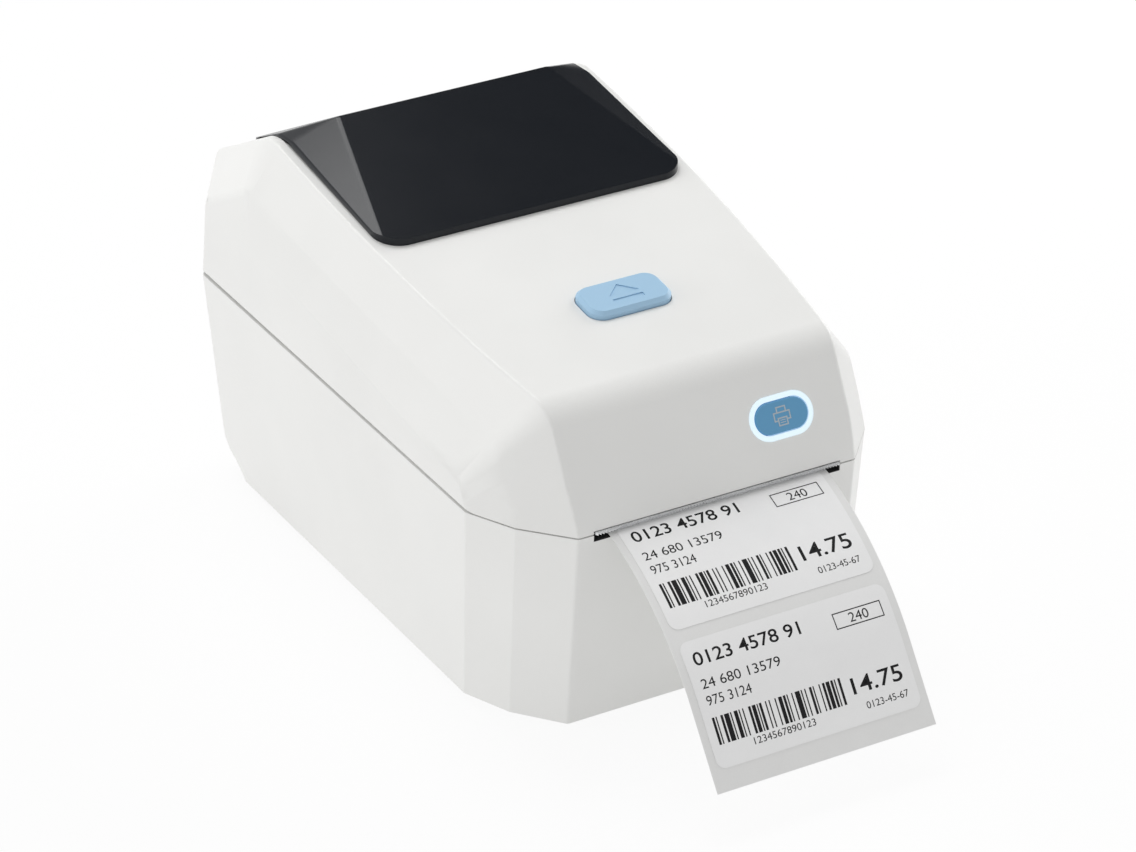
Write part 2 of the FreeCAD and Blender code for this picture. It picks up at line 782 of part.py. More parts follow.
def ribbon(path, first, last, low, high, half):
    """Sheet that follows the paper path between two distances, from low to high above its line."""
    edges = {low: [], high: []}
    done = 0.0
    for piece in path:
        a = max(first - done, 0.0)
        b = min(last - done, piece[3])
        done += piece[3]
        if b - a < 1e-6:
            continue
        for lift in edges:
            points = []
            for distance in (a, (a + b) / 2, b):
                y, z, heading = along(piece, distance)
                points.append(Vector(-half, y + lift * math.sin(heading), z - lift * math.cos(heading)))
            curve = Part.Arc(*points) if piece[4] else Part.LineSegment(points[0], points[2])
            edges[lift].append((curve.toShape(), points[0], points[2]))
    caps = [Part.LineSegment(edges[low][i][j], edges[high][i][j]).toShape() for i, j in ((0, 1), (-1, 2))]
    loop = [e for e, _, _ in edges[low]] + [caps[1]] + [e for e, _, _ in reversed(edges[high])] + [caps[0]]
    return Part.Face(Part.Wire(Part.__sortEdges__(loop))).extrude(Vector(2 * half, 0, 0))


os.makedirs("parts", exist_ok=True)

# The frame's origin lies under the middle of the whole footprint, from the strip's end to the hinge.
path = paper_path()
end_y, _, end_heading = along(path[-1], path[-1][3])
hinge_y = BODY_DEPTH
middle_y = (end_y + LINER_THICK * math.sin(end_heading) + hinge_y + KNUCKLE_R) / 2

# Lower case: tub with floor hatch, hinge knuckles, posts for the deck and openings for the sockets.
outer = case_form(0, 0, SEAM_LOW, REAR_ROUND)
upright = [e for e in outer.Edges if e.BoundBox.ZLength > SEAM_Z * 0.6 and e.BoundBox.YMax < ROLL_Y]
outer = outer.makeFillet(CORNER_SOFT, upright)
cavity = case_form(WALL, WALL, SEAM_Z + 1, REAR_ROUND - WALL)
hatch_back = HATCH_FRONT + HATCH_LENGTH
hatch_spots = [(s * (HATCH_HALF - HATCH_LEDGE), y) for s in (-1, 1)
               for y in (HATCH_FRONT + HATCH_LEDGE, hatch_back - HATCH_LEDGE)]
foot_spots = [(s * (SIDE_HALF - x), y) for s in (-1, 1)
              for x, y in ((FOOT_FRONT_IN, FOOT_FRONT_Y), (FOOT_REAR_IN, BODY_DEPTH - FOOT_REAR_END))]
deck_spots = [(s * (SIDE_HALF - DECK_BOSS_IN), y) for s in (-1, 1)
              for y in (DECK_FRONT + DECK_BOSS_FRONT, WELL_FRONT - DECK_BOSS_BACK)]
port_y = BODY_DEPTH - PORT_BOARD_INSET
port_spots = [(s * (PORT_BOARD_HALF - BOARD_EDGE), port_y + BOARD_EDGE) for s in (-1, 1)]
knuckle_mid = (KNUCKLE_X + KNUCKLE_END, KNUCKLE_X + KNUCKLE_END + KNUCKLE_MID)
knuckle_ends = [(KNUCKLE_X, knuckle_mid[0]), (knuckle_mid[1], knuckle_mid[1] + KNUCKLE_END)]
pin_span = (KNUCKLE_X, knuckle_ends[1][1])
usb_face = BODY_DEPTH - REAR_RAKE + REAR_RAKE * (PORT_BOARD_Z + BOARD_THICK) / SEAM_Z
socket_z = PORT_BOARD_Z + BOARD_THICK

case = outer.cut(cavity)
solids = [case]
for x, y in hatch_spots:
    solids.append(post(BOSS_R, x, y, HATCH_THICK, WALL + BOSS_TALL))
for x, y in deck_spots:
    solids.append(post(BOSS_R, x, y, WALL / 2, DECK_LOW))
for x, y in port_spots:
    solids.append(post(STANDOFF_R, x, y, WALL / 2, PORT_BOARD_Z))
for x0, x1 in knuckle_ends:
    leaf = box(x0, x1, hinge_y - WALL, hinge_y + KNUCKLE_R, SEAM_Z - LEAF_TALL, SEAM_Z)
    leaf = leaf.cut(box(x0, x1, hinge_y, hinge_y + 2 * KNUCKLE_R, SEAM_Z - 2 * LEAF_TALL,
                        SEAM_Z - LEAF_TALL / 2))
    leaf = leaf.fuse(rod(KNUCKLE_R, x0, x1, hinge_y, SEAM_Z))
    solids += both(leaf)
case = joined(solids)
cuts = [
    box(-HATCH_HALF, HATCH_HALF, HATCH_FRONT, hatch_back, -1, HATCH_THICK),
    box(-SLOT_HALF - SEAT_GAP, SLOT_HALF + SEAT_GAP, -5, FRAME_FRONT, SEAM_LOW - SLOT_DROP, SEAM_Z + 1),
    box(USB_X - USB_WIDE / 2 - SLIDE_GAP, USB_X + USB_WIDE / 2 + SLIDE_GAP, usb_face - USB_LONG,
        BODY_DEPTH + 5, socket_z, socket_z + USB_TALL + SLIDE_GAP),
    box(JACK_X - JACK_WIDE / 2 - SLIDE_GAP, JACK_X + JACK_WIDE / 2 + SLIDE_GAP, usb_face - JACK_LONG,
        BODY_DEPTH + 5, socket_z, socket_z + JACK_TALL + SLIDE_GAP),
]
ledge_cut = box(-HATCH_HALF + HATCH_LEDGE, HATCH_HALF - HATCH_LEDGE, HATCH_FRONT + HATCH_LEDGE,
                hatch_back - HATCH_LEDGE, 0, WALL + BOSS_TALL + 1)
cuts.append(without(ledge_cut, [post(BOSS_R, x, y, -1, 99) for x, y in hatch_spots]))
cuts += [post(SCREW_R + SCREW_GAP, x, y, -1, WALL + BOSS_TALL - BLIND) for x, y in hatch_spots]
cuts += [post(SCREW_R + SCREW_GAP, x, y, DECK_LOW - SCREW_LONG - BLIND, DECK_LOW + 1)
         for x, y in deck_spots]
cuts += [post(FOOT_R, x, y, -1, FOOT_SEAT) for x, y in foot_spots]
cuts += both(rod(KNUCKLE_R + HINGE_GAP, knuckle_mid[0], knuckle_mid[1], hinge_y, SEAM_Z))
cuts += both(rod(PIN_R, pin_span[0] - 1, pin_span[1] + 1, hinge_y, SEAM_Z))
save("lower_case", without(case, cuts))

# Hatch with the board standoffs, its screws and the feet.
board_spots = [(s * (MAIN_BOARD_HALF - BOARD_EDGE), y) for s in (-1, 1)
               for y in (MAIN_BOARD_FRONT + BOARD_EDGE, MAIN_BOARD_FRONT + MAIN_BOARD_LONG - BOARD_EDGE)]
hatch = box(-HATCH_HALF + SLIDE_GAP, HATCH_HALF - SLIDE_GAP, HATCH_FRONT + SLIDE_GAP,
            hatch_back - SLIDE_GAP, 0, HATCH_THICK)
hatch = joined([hatch] + [post(STANDOFF_R, x, y, 0, MAIN_BOARD_Z) for x, y in board_spots])
holes = [post(SCREW_R + 2 * SCREW_GAP, x, y, -1, WALL) for x, y in hatch_spots]
holes += [post(SMALL_SCREW_R + SCREW_GAP, x, y, HATCH_THICK + BLIND, MAIN_BOARD_Z + 1)
          for x, y in board_spots]
save("hatch", without(hatch, holes))
save("hatch_screws", group([screw(SCREW_R, SCREW_HEAD_R, SCREW_HEAD, SCREW_LONG, x, y, 0, False)
                            for x, y in hatch_spots]))
save("feet", group([post(FOOT_R, x, y, -FOOT_TALL, FOOT_SEAT) for x, y in foot_spots]))

# Media tray: deck under the paper, roll well and the channel the racks run against.
wide = SIDE_HALF
well = rod(WELL_R + DECK_THICK, -wide, wide, ROLL_Y, ROLL_Z)
well = well.common(box(-wide, wide, 0, BODY_DEPTH, 0, DECK_TOP))
rim = box(-wide, wide, WELL_FRONT, ROLL_Y + WELL_R + DECK_THICK, ROLL_Z, DECK_TOP)
deck = box(-wide, wide, DECK_FRONT, BODY_DEPTH, DECK_LOW, DECK_TOP)
channel = box(-wide, wide, ROLL_Y - CHANNEL_HALF, ROLL_Y + CHANNEL_HALF, CHANNEL_Z,
              ROLL_Z - WELL_R + DECK_THICK)
tray = joined([deck, well, rim, channel])
tray = without(tray, [rod(WELL_R, -wide - 1, wide + 1, ROLL_Y, ROLL_Z),
                      box(-wide - 1, wide + 1, ROLL_Y - WELL_R, ROLL_Y + WELL_R, ROLL_Z, SEAM_Z)])
tray = tray.common(case_form(WALL + SEAT_GAP, WALL + SEAT_GAP, SEAM_Z, REAR_ROUND - WALL - SEAT_GAP))
tray = tray.fuse(post(RACK_STUD_R, 0, ROLL_Y, RACK_Z - SLIDE_GAP, CHANNEL_Z + 2)).removeSplitter()
hook_gap = box(HOOK_X - HOOK_GAP, HOOK_X + HOOK_THICK + HOOK_GAP, LATCH_Y - HOOK_SWING - TRAY_SWING,
               LATCH_Y + HOOK_RETURN + TRAY_SWING, DECK_LOW - 1, DECK_TOP + 1)
holder_slot = box(HOLDER_X - SLIDE_GAP, HOLDER_X + HOLDER_THICK + HOLDER_TRAVEL + 2 * SLIDE_GAP,
                  ROLL_Y - HOLDER_HALF - SLIDE_GAP, ROLL_Y + HOLDER_HALF + SLIDE_GAP, CHANNEL_Z - 1, ROLL_Z)
cuts = both(hook_gap) + both(holder_slot)
cuts.append(box(-SENSOR_WIDE / 2 - SLIDE_GAP, SENSOR_WIDE / 2 + SLIDE_GAP, SENSOR_Y - SLIDE_GAP,
                SENSOR_Y + SENSOR_LONG + SLIDE_GAP, DECK_LOW - 1, DECK_TOP + 1))
cuts += [post(SCREW_R + 2 * SCREW_GAP, x, y, DECK_LOW - 1, DECK_TOP + 1) for x, y in deck_spots]
frame_spots = [(s * (CHEEK_IN - TAB_SCREW_IN), FRAME_BACK - y) for s in (-1, 1) for y in TAB_SCREWS]
cuts += [post(SMALL_SCREW_R + 2 * SCREW_GAP, x, y, DECK_LOW - 1, DECK_TOP + 1) for x, y in frame_spots]
cuts.append(post(SMALL_SCREW_R + SCREW_GAP, 0, ROLL_Y, RACK_Z - 1, CHANNEL_Z + 1))
save("media_tray", without(tray, cuts))
save("deck_screws", group([screw(SCREW_R, SCREW_HEAD_R, SCREW_HEAD, SCREW_LONG, x, y, DECK_TOP)
                           for x, y in deck_spots]))
save("frame_screws", group([screw(SMALL_SCREW_R, SMALL_HEAD_R, SMALL_HEAD, SMALL_LONG, x, y, DECK_TOP)
                            for x, y in frame_spots]))
eye = post(SENSOR_EYE_R, SENSOR_EYE_X, SENSOR_Y + SENSOR_LONG / 2, DECK_TOP - SENSOR_EYE_DEEP, DECK_TOP + 1)
block = box(-SENSOR_WIDE / 2, SENSOR_WIDE / 2, SENSOR_Y, SENSOR_Y + SENSOR_LONG, DECK_LOW - SENSOR_DEEP,
            DECK_TOP)
save("gap_sensor", without(block, both(eye)))

# Roll with its core, and the web that runs off it to the free end.
roll_span = (-LINER_HALF, LINER_HALF)
save("label_roll", rod(ROLL_R, *roll_span, ROLL_Y, ROLL_Z).cut(rod(CORE_R, -99, 99, ROLL_Y, ROLL_Z)))
save("roll_core", rod(CORE_R, *roll_span, ROLL_Y, ROLL_Z).cut(rod(CORE_BORE, -99, 99, ROLL_Y, ROLL_Z)))
path_long = sum(piece[3] for piece in path)
save("label_strip", ribbon(path, 0.0, path_long, 0.0, LINER_THICK, LINER_HALF))
second = path_long - TAIL - LABEL_LONG
first = second - LABEL_SPACE - LABEL_LONG
label_low = LINER_THICK + GLUE_THICK
save("labels", group([ribbon(path, s, s + LABEL_LONG, label_low, label_low + LABEL_THICK, LABEL_HALF)
                      for s in (first, second)]))

# Roll holders: flange and hub on an arm through the tray, with a rack under it; the right one is the
# left one turned half round, and a pinion between the racks moves them together.
hub = rod(CORE_BORE - SEAT_GAP, -HOLDER_X, -LINER_HALF + HUB_LONG, ROLL_Y, ROLL_Z)
hub = hub.makeChamfer(HUB_CHAMFER, [e for e in hub.Edges if e.BoundBox.XMin > -LINER_HALF])
flange = rod(HOLDER_FLANGE_R, -HOLDER_X - HOLDER_THICK, -HOLDER_X, ROLL_Y, ROLL_Z)
arm = box(-HOLDER_X - HOLDER_THICK, -HOLDER_X, ROLL_Y - HOLDER_HALF, ROLL_Y + HOLDER_HALF, RACK_Z, ROLL_Z)
rack_line = ROLL_Y - RACK_PITCH_R
rack_back = rack_line - 1.25 * RACK_MODULE - RACK_DEEP
pitch = math.pi * RACK_MODULE
lean = math.tan(math.radians(20))
tooth = pitch / 4 - BACKLASH / 2
tip, root = 0.95 * RACK_MODULE, 1.25 * RACK_MODULE
outline = [(RACK_REACH, rack_back), (RACK_REACH, rack_line - root)]
for i in range(int(RACK_REACH / pitch), -int(RACK_REACH / pitch) - 1, -1):
    x = (i - 0.5) * pitch
    outline += [(x + tooth + root * lean, rack_line - root), (x + tooth - tip * lean, rack_line + tip),
                (x - tooth + tip * lean, rack_line + tip), (x - tooth - root * lean, rack_line - root)]
outline += [(-HOLDER_X - HOLDER_THICK, rack_line - root), (-HOLDER_X - HOLDER_THICK, rack_back)]
rack = polygon([Vector(x, y, RACK_Z) for x, y in outline]).extrude(Vector(0, 0, RACK_TALL))
foot = box(-HOLDER_X - HOLDER_THICK, -HOLDER_X, rack_back, ROLL_Y, RACK_Z, RACK_Z + RACK_TALL)
holder = joined([flange, hub, arm, rack, foot])
save("left_roll_holder", holder)
turned = holder.copy()
turned.rotate(Vector(0, ROLL_Y, 0), Vector(0, 0, 1), 180)
save("right_roll_holder", turned)
outline = [Vector(u, ROLL_Y + v, RACK_Z) for u, v in gear_points(RACK_TEETH, RACK_MODULE, 90.0)]
pinion = polygon(outline).extrude(Vector(0, 0, RACK_TALL))
save("holder_pinion", pinion.cut(post(RACK_STUD_R + RUN_GAP, 0, ROLL_Y, 0, 99)))
keeper_z = RACK_Z - SLIDE_GAP - KEEPER_THICK
washer = post(RACK_STUD_R + KEEPER_LAP, 0, ROLL_Y, keeper_z, RACK_Z - SLIDE_GAP)
keeper = screw(SMALL_SCREW_R, SMALL_HEAD_R, SMALL_HEAD, SMALL_LONG, 0, ROLL_Y, keeper_z, False)
save("pinion_keeper", washer.fuse(keeper).removeSplitter())

# Steel frame of the print unit, hung under the deck, with its bushings and studs.
idler_way = math.radians(IDLER_ANGLE)
idler_far = GEAR_MODULE * (PLATEN_TEETH + IDLER_TEETH) / 2
idler = (PLATEN_Y + idler_far * math.cos(idler_way), PLATEN_Z + idler_far * math.sin(idler_way))
motor_way = math.radians(PINION_ANGLE)
motor_far = GEAR_MODULE * (IDLER_TEETH + PINION_TEETH) / 2
motor = (idler[0] + motor_far * math.cos(motor_way), idler[1] + motor_far * math.sin(motor_way))
cheek_out = CHEEK_IN + CHEEK_THICK
ears = [(motor[0] + s * MOTOR_EAR * math.sqrt(0.5), motor[1] - s * MOTOR_EAR * math.sqrt(0.5))
        for s in (-1, 1)]
cheek = prism([(FRAME_FRONT, FRAME_LOW), (FRAME_BACK, FRAME_LOW), (FRAME_BACK, DECK_LOW),
               (DECK_FRONT - 1, DECK_LOW), (DECK_FRONT - 3, DECK_TOP), (FRAME_FRONT, DECK_TOP)],
              CHEEK_IN, cheek_out)
tab = box(CHEEK_IN - TAB_WIDE, CHEEK_IN, FRAME_BACK - TAB_LONG, FRAME_BACK, DECK_LOW - CHEEK_THICK, DECK_LOW)
tie = box(-CHEEK_IN, CHEEK_IN, FRAME_FRONT, FRAME_FRONT + FRAME_TIE, FRAME_LOW, FRAME_LOW + CHEEK_THICK)
frame = joined(both(cheek) + both(tab) + [tie])
cuts = both(rod(BUSH_R, CHEEK_IN - 1, cheek_out + 1, PLATEN_Y, PLATEN_Z))
cuts += both(rod(STUD_R, CHEEK_IN - 1, cheek_out + 1, CATCH_Y, CATCH_Z))
cuts.append(rod(STUD_R, CHEEK_IN - 1, cheek_out + 1, *idler))
cuts.append(rod(MOTOR_BOSS_R + SEAT_GAP, CHEEK_IN - 1, cheek_out + 1, *motor))
cuts += [rod(SMALL_SCREW_R + SCREW_GAP, CHEEK_IN - 1, cheek_out + 1, y, z) for y, z in ears]
cuts += [post(SMALL_SCREW_R + SCREW_GAP, x, y, DECK_LOW - 5, DECK_LOW + 1) for x, y in frame_spots]
save("print_frame", without(frame, cuts))
bush = rod(BUSH_R, CHEEK_IN - BUSH_FLANGE, cheek_out + BUSH_PROUD, PLATEN_Y, PLATEN_Z)
bush = bush.fuse(rod(BUSH_FLANGE_R, CHEEK_IN - BUSH_FLANGE, CHEEK_IN, PLATEN_Y, PLATEN_Z))
bush = bush.cut(rod(SHAFT_R + RUN_GAP, 0, 99, PLATEN_Y, PLATEN_Z)).removeSplitter()
save("platen_bushings", group(both(bush)))
stud_end = GEAR_X + GEAR_FACE + SLIDE_GAP
stud = rod(STUD_R, CHEEK_IN, stud_end, *idler).fuse(rod(STUD_R + STUD_LAP, stud_end, stud_end + STUD_HEAD,
                                                        *idler))
save("idler_stud", stud)
save("catch_studs", group(both(rod(STUD_R, CHEEK_IN, HOOK_X + HOOK_THICK + CATCH_PROUD, CATCH_Y, CATCH_Z))))

# Stepper motor on the right cheek, and the geared drive to the platen.
can = rod(MOTOR_R, CHEEK_IN - MOTOR_LONG, CHEEK_IN, *motor)
can = can.makeFillet(MOTOR_SOFT, [e for e in can.Edges if e.BoundBox.XMax < CHEEK_IN - MOTOR_LONG + 0.1])
ear_x = CHEEK_IN - MOTOR_EAR_THICK
solids = [can, rod(MOTOR_BOSS_R, ear_x, cheek_out, *motor)]
solids += [rod(MOTOR_EAR_R, ear_x, CHEEK_IN, y, z) for y, z in ears]
strap = box(ear_x, CHEEK_IN, -MOTOR_EAR, MOTOR_EAR, -MOTOR_EAR_R, MOTOR_EAR_R)
strap.rotate(Vector(), Vector(1, 0, 0), -45)
strap.translate(Vector(0, *motor))
can = joined(solids + [strap])
cuts = [rod(MOTOR_SHAFT_R + RUN_GAP, CHEEK_IN - MOTOR_SHAFT_DEEP, cheek_out + 1, *motor)]
cuts += [rod(SMALL_SCREW_R + SCREW_GAP, CHEEK_IN - 2, CHEEK_IN + 1, y, z) for y, z in ears]
save("stepper_motor", without(can, cuts))
save("motor_screws", group([x_screw(SMALL_SCREW_R, SMALL_HEAD_R, SMALL_HEAD, MOTOR_SCREW_LONG, cheek_out,
                                    y, z)
                            for y, z in ears]))
platen_phase = IDLER_ANGLE
idler_phase = next_phase(PLATEN_TEETH, platen_phase, IDLER_TEETH, IDLER_ANGLE)
pinion_phase = next_phase(IDLER_TEETH, idler_phase, PINION_TEETH, PINION_ANGLE)
save("platen_gear", side_gear(PLATEN_TEETH, platen_phase, PLATEN_Y, PLATEN_Z, SHAFT_R))
wheel = side_gear(IDLER_TEETH, idler_phase, *idler, STUD_R + RUN_GAP)
collar = rod(2 * STUD_R, cheek_out + SLIDE_GAP, GEAR_X, *idler).cut(rod(STUD_R + RUN_GAP, 0, 99, *idler))
save("idler_gear", wheel.fuse(collar).removeSplitter())
save("motor_pinion", side_gear(PINION_TEETH, pinion_phase, *motor, MOTOR_SHAFT_R))
save("motor_shaft", rod(MOTOR_SHAFT_R, CHEEK_IN - MOTOR_SHAFT_DEEP, GEAR_X + GEAR_FACE + SHAFT_END, *motor))

# Platen roller: rubber sleeve on a steel shaft.
save("platen_shaft", rod(SHAFT_R, -cheek_out - SHAFT_TAIL, GEAR_X + GEAR_FACE + SHAFT_END, PLATEN_Y,
                         PLATEN_Z))
sleeve = rod(PLATEN_R, -PLATEN_HALF, PLATEN_HALF, PLATEN_Y, PLATEN_Z)
save("platen_rubber", sleeve.cut(rod(SHAFT_R, -99, 99, PLATEN_Y, PLATEN_Z)))

# Circuit boards and the sockets at the back.
board_top = MAIN_BOARD_Z + BOARD_THICK
board_back = MAIN_BOARD_FRONT + MAIN_BOARD_LONG
board = box(-MAIN_BOARD_HALF, MAIN_BOARD_HALF, MAIN_BOARD_FRONT, board_back, MAIN_BOARD_Z, board_top)
save("main_board", without(board, [post(SMALL_SCREW_R + SCREW_GAP, x, y, 0, 20) for x, y in board_spots]))
save("board_screws", group([screw(SMALL_SCREW_R, SMALL_HEAD_R, SMALL_HEAD, SMALL_LONG, x, y, board_top)
                            for x, y in board_spots]))
chip_y = MAIN_BOARD_FRONT + CHIP_BEHIND
chips = [box(x - half, x + half, chip_y - half, chip_y + half, board_top, board_top + tall)
         for x, half, tall in ((CHIP_X, CHIP_HALF, CHIP_TALL), (DRIVER_X, DRIVER_HALF, DRIVER_TALL))]
header_y = MAIN_BOARD_FRONT + HEADER_IN
chips += both(box(HEADER_X - HEADER_HALF, HEADER_X + HEADER_HALF, header_y, header_y + HEADER_LONG,
                  board_top, board_top + HEADER_TALL))
chips += [post(CAPACITOR_R, x, board_back - CAPACITOR_IN, board_top, board_top + CAPACITOR_TALL)
          for x in CAPACITOR_X]
save("board_components", group(chips))
board = box(-PORT_BOARD_HALF, PORT_BOARD_HALF, port_y, port_y + PORT_BOARD_LONG, PORT_BOARD_Z, socket_z)
save("port_board", board)
usb = box(USB_X - USB_WIDE / 2, USB_X + USB_WIDE / 2, usb_face - USB_LONG, usb_face, socket_z,
          socket_z + USB_TALL)
mouth = box(USB_X - USB_WIDE / 2 + USB_WALL, USB_X + USB_WIDE / 2 - USB_WALL, usb_face - USB_DEEP,
            usb_face + 1,
            socket_z + USB_WALL, socket_z + USB_TALL - USB_WALL)
tongue_z = socket_z + (USB_TALL - TONGUE_TALL) / 2
save("usb_socket", usb.cut(mouth))
save("usb_tongue", box(USB_X - TONGUE_HALF, USB_X + TONGUE_HALF, usb_face - USB_DEEP,
                       usb_face - TONGUE_SHORT,
                       tongue_z, tongue_z + TONGUE_TALL))
jack_z = socket_z + JACK_TALL / 2
jack = box(JACK_X - JACK_WIDE / 2, JACK_X + JACK_WIDE / 2, usb_face - JACK_LONG, usb_face,
           socket_z, socket_z + JACK_TALL)
jack_end = Vector(JACK_X, usb_face - JACK_DEEP, jack_z)
save("power_socket", jack.cut(Part.makeCylinder(JACK_BORE, JACK_DEEP + 1, jack_end, Vector(0, 1, 0))))
save("power_pin", Part.makeCylinder(JACK_PIN, JACK_PIN_LONG, jack_end, Vector(0, 1, 0)))

# Hinge pins.
save("hinge_pins", group(both(rod(PIN_R, pin_span[0], pin_span[1], hinge_y, SEAM_Z))))

# Lid: thin shell with bosses for the inner frame, posts for the button board and hinge knuckles.
form = lid_form(0, SEAM_TOP)
crest = lid_edge(LID_EDGES[0], 0, SEAM_TOP)


def on_crest(edge):
    middle = edge.valueAt((edge.FirstParameter + edge.LastParameter) / 2)
    spot = Part.Vertex(abs(middle.x), middle.y, middle.z)
    return min(e.distToShape(spot)[0] for e in crest) < 1e-3


form = form.makeFillet(EDGE_SOFT, [e for e in form.Edges if on_crest(e)])
hollow = lid_form(WALL, SEAM_Z - 1)
frame_room = lid_form(WALL + SEAT_GAP, SEAM_Z)
boss_spots = [(s * LID_BOSS_X, y, z) for s in (-1, 1)
              for y, z in ((LID_BOSS_FRONT, LEDGE_Z + FRAME_THICK), (LID_BOSS_BACK, FRAME_Z + FRAME_THICK))]
inside = [post(BOSS_R, x, y, z, RIDGE_Z) for x, y, z in boss_spots]
for s in (-1, 1):
    inside.append(on_front(post(BUTTON_POST_R, s * BUTTON_POST_X, 0, -BOARD_DEPTH, -WALL / 2)))
inside += both(box(TEAR_SCREW_X - TEAR_BLOCK_HALF, TEAR_SCREW_X + TEAR_BLOCK_HALF, TEAR_TIP,
                   TEAR_BACK - TEAR_THICK,
                   SEAM_TOP + TEAR_THICK, SEAM_TOP + TEAR_TALL))
solids = [form.cut(hollow)] + [piece.common(form) for piece in inside]
leaf = box(*knuckle_mid, hinge_y - WALL, hinge_y + KNUCKLE_R, SEAM_Z, SEAM_Z + LEAF_TALL)
leaf = leaf.cut(box(*knuckle_mid, hinge_y + LEAF_THICK, hinge_y + 2 * KNUCKLE_R, SEAM_Z + LEAF_TALL / 2,
                    SEAM_Z + 2 * LEAF_TALL))
leaf = leaf.cut(box(*knuckle_mid, hinge_y - 2 * WALL, hinge_y, SEAM_LOW, SEAM_TOP))
leaf = leaf.fuse(rod(KNUCKLE_R, *knuckle_mid, hinge_y, SEAM_Z))
solids += both(leaf)
lid = joined(solids)
cuts = [box(-WINDOW_HALF + WINDOW_LAP, WINDOW_HALF - WINDOW_LAP, WINDOW_FRONT + WINDOW_LAP,
            WINDOW_BACK - WINDOW_BACK_LAP, FRAME_Z + LEAF_TALL, 2 * RIDGE_Z)]
cuts.append(on_top(rounded_plate(OPEN_WIDE + 2 * SLIDE_GAP, OPEN_LONG + 2 * SLIDE_GAP,
                                 OPEN_CORNER + SLIDE_GAP,
                                 -2 * WALL, 2 * OPEN_PROUD), OPEN_Y))
cuts.append(on_front(rounded_plate(RING_WIDE, RING_TALL, RING_TALL, -2 * WALL, WALL)))
cuts.append(box(-SLOT_HALF - SEAT_GAP, SLOT_HALF + SEAT_GAP, -WALL, TEAR_BACK + 1, SEAM_LOW,
                SEAM_TOP + TEAR_THICK))
for x0, x1 in knuckle_ends:
    cuts += both(rod(KNUCKLE_R + HINGE_GAP, x0 - SLIDE_GAP, x1 + SLIDE_GAP, hinge_y, SEAM_Z))
cuts += both(rod(PIN_R + RUN_GAP, *knuckle_mid, hinge_y, SEAM_Z))
cuts += [post(SCREW_R + SCREW_GAP, x, y, z - 1, z + SCREW_LONG) for x, y, z in boss_spots]
tear_spots = [(s * TEAR_SCREW_X, SEAM_TOP + TEAR_TALL / 2 + TEAR_SCREW_RISE) for s in (-1, 1)]
cuts += [Part.makeCylinder(SMALL_SCREW_R + SCREW_GAP, TEAR_SCREW_LONG,
                           Vector(x, TEAR_BACK - TEAR_SCREW_LONG, z),
                           Vector(0, 1, 0))
         for x, z in tear_spots]
save("lid_shell", without(lid, cuts))

# Window cover: smoked faceted cap lapping over the edge of the opening in the lid.
def window_form(shrink):
    """Faceted cap, with its top and sides moved in by shrink."""
    half = WINDOW_HALF - shrink
    front = WINDOW_FRONT + shrink
    back = WINDOW_BACK - shrink
    top = (SLOPE_Y, top_z(SLOPE_Y))
    crest = meet(top, math.radians(TOP_SLOPE), (back, back_z(back)), math.radians(-REAR_SLOPE))
    rim = [(front, top_z(front) + WINDOW_RIM), (RIDGE_Y, top_z(RIDGE_Y) + WINDOW_RIM),
           (crest[0], crest[1] + WINDOW_CREST_RIM), (back, back_z(back) + WINDOW_BACK_RIM)]
    left = [Vector(half, y, z - shrink) for y, z in rim]
    left.append(Vector(RIDGE_HALF, RIDGE_Y, RIDGE_Z - shrink))
    right = [Vector(-p.x, p.y, p.z) for p in left]
    fl, ml, cl, bl, rl = left
    fr, mr, cr, br, rr = right
    ground = [Vector(p.x, p.y, LIP_Z) for p in (fl, bl, br, fr)]
    faces = [[fl, fr, rr, rl], [rl, rr, br, bl], [fl, rl, ml], [ml, rl, cl], [cl, rl, bl],
             [fr, mr, rr], [mr, cr, rr], [cr, br, rr],
             [fl, ml, cl, bl, ground[1], ground[0]], [fr, ground[3], ground[2], br, cr, mr],
             [fl, ground[0], ground[3], fr], [bl, br, ground[2], ground[1]], ground]
    shell = Part.makeShell([polygon(list(f)) for f in faces])
    shell.sewShape()
    solid = Part.makeSolid(shell)
    if solid.Volume < 0:
        solid.reverse()
    outline = rounded_plate(2 * half, back - front, WINDOW_CORNER - shrink, SEAM_Z, 2 * RIDGE_Z)
    outline.translate(Vector(0, (front + back) / 2, 0))
    return solid.common(outline)


cap = window_form(0.0).cut(lid_form(0, SEAM_TOP))
cap = cap.cut(window_form(WINDOW_WALL))
save("window_cover", cap)

# Inner frame of the lid: carries the head pivot, the hold-down rod and the latch bar.
frame_top = FRAME_Z + FRAME_THICK
sheet = prism([(LEDGE_FRONT, LEDGE_Z), (RISER_Y, LEDGE_Z), (RISER_Y, FRAME_Z), (LID_FRAME_BACK, FRAME_Z),
               (LID_FRAME_BACK, frame_top), (RISER_Y + FRAME_THICK, frame_top),
               (RISER_Y + FRAME_THICK, LEDGE_Z + FRAME_THICK), (LEDGE_FRONT, LEDGE_Z + FRAME_THICK)],
              -LID_FRAME_HALF, LID_FRAME_HALF).common(frame_room)
pivot_z = BRACKET_Z
ear_in = BRACKET_HALF + EAR_GAP
hold_in = HOOK_X + HOOK_THICK + HOLD_EAR_GAP
head_ear = box(ear_in, ear_in + EAR_THICK, PIVOT_Y - HEAD_EAR_HALF, PIVOT_Y + HEAD_EAR_HALF,
               pivot_z - EAR_LAP,
               FRAME_Z)
hold_ear = box(hold_in, hold_in + EAR_THICK, HOLD_Y - EAR_HALF, HOLD_Y + EAR_HALF, HOLD_Z - EAR_LAP, FRAME_Z)
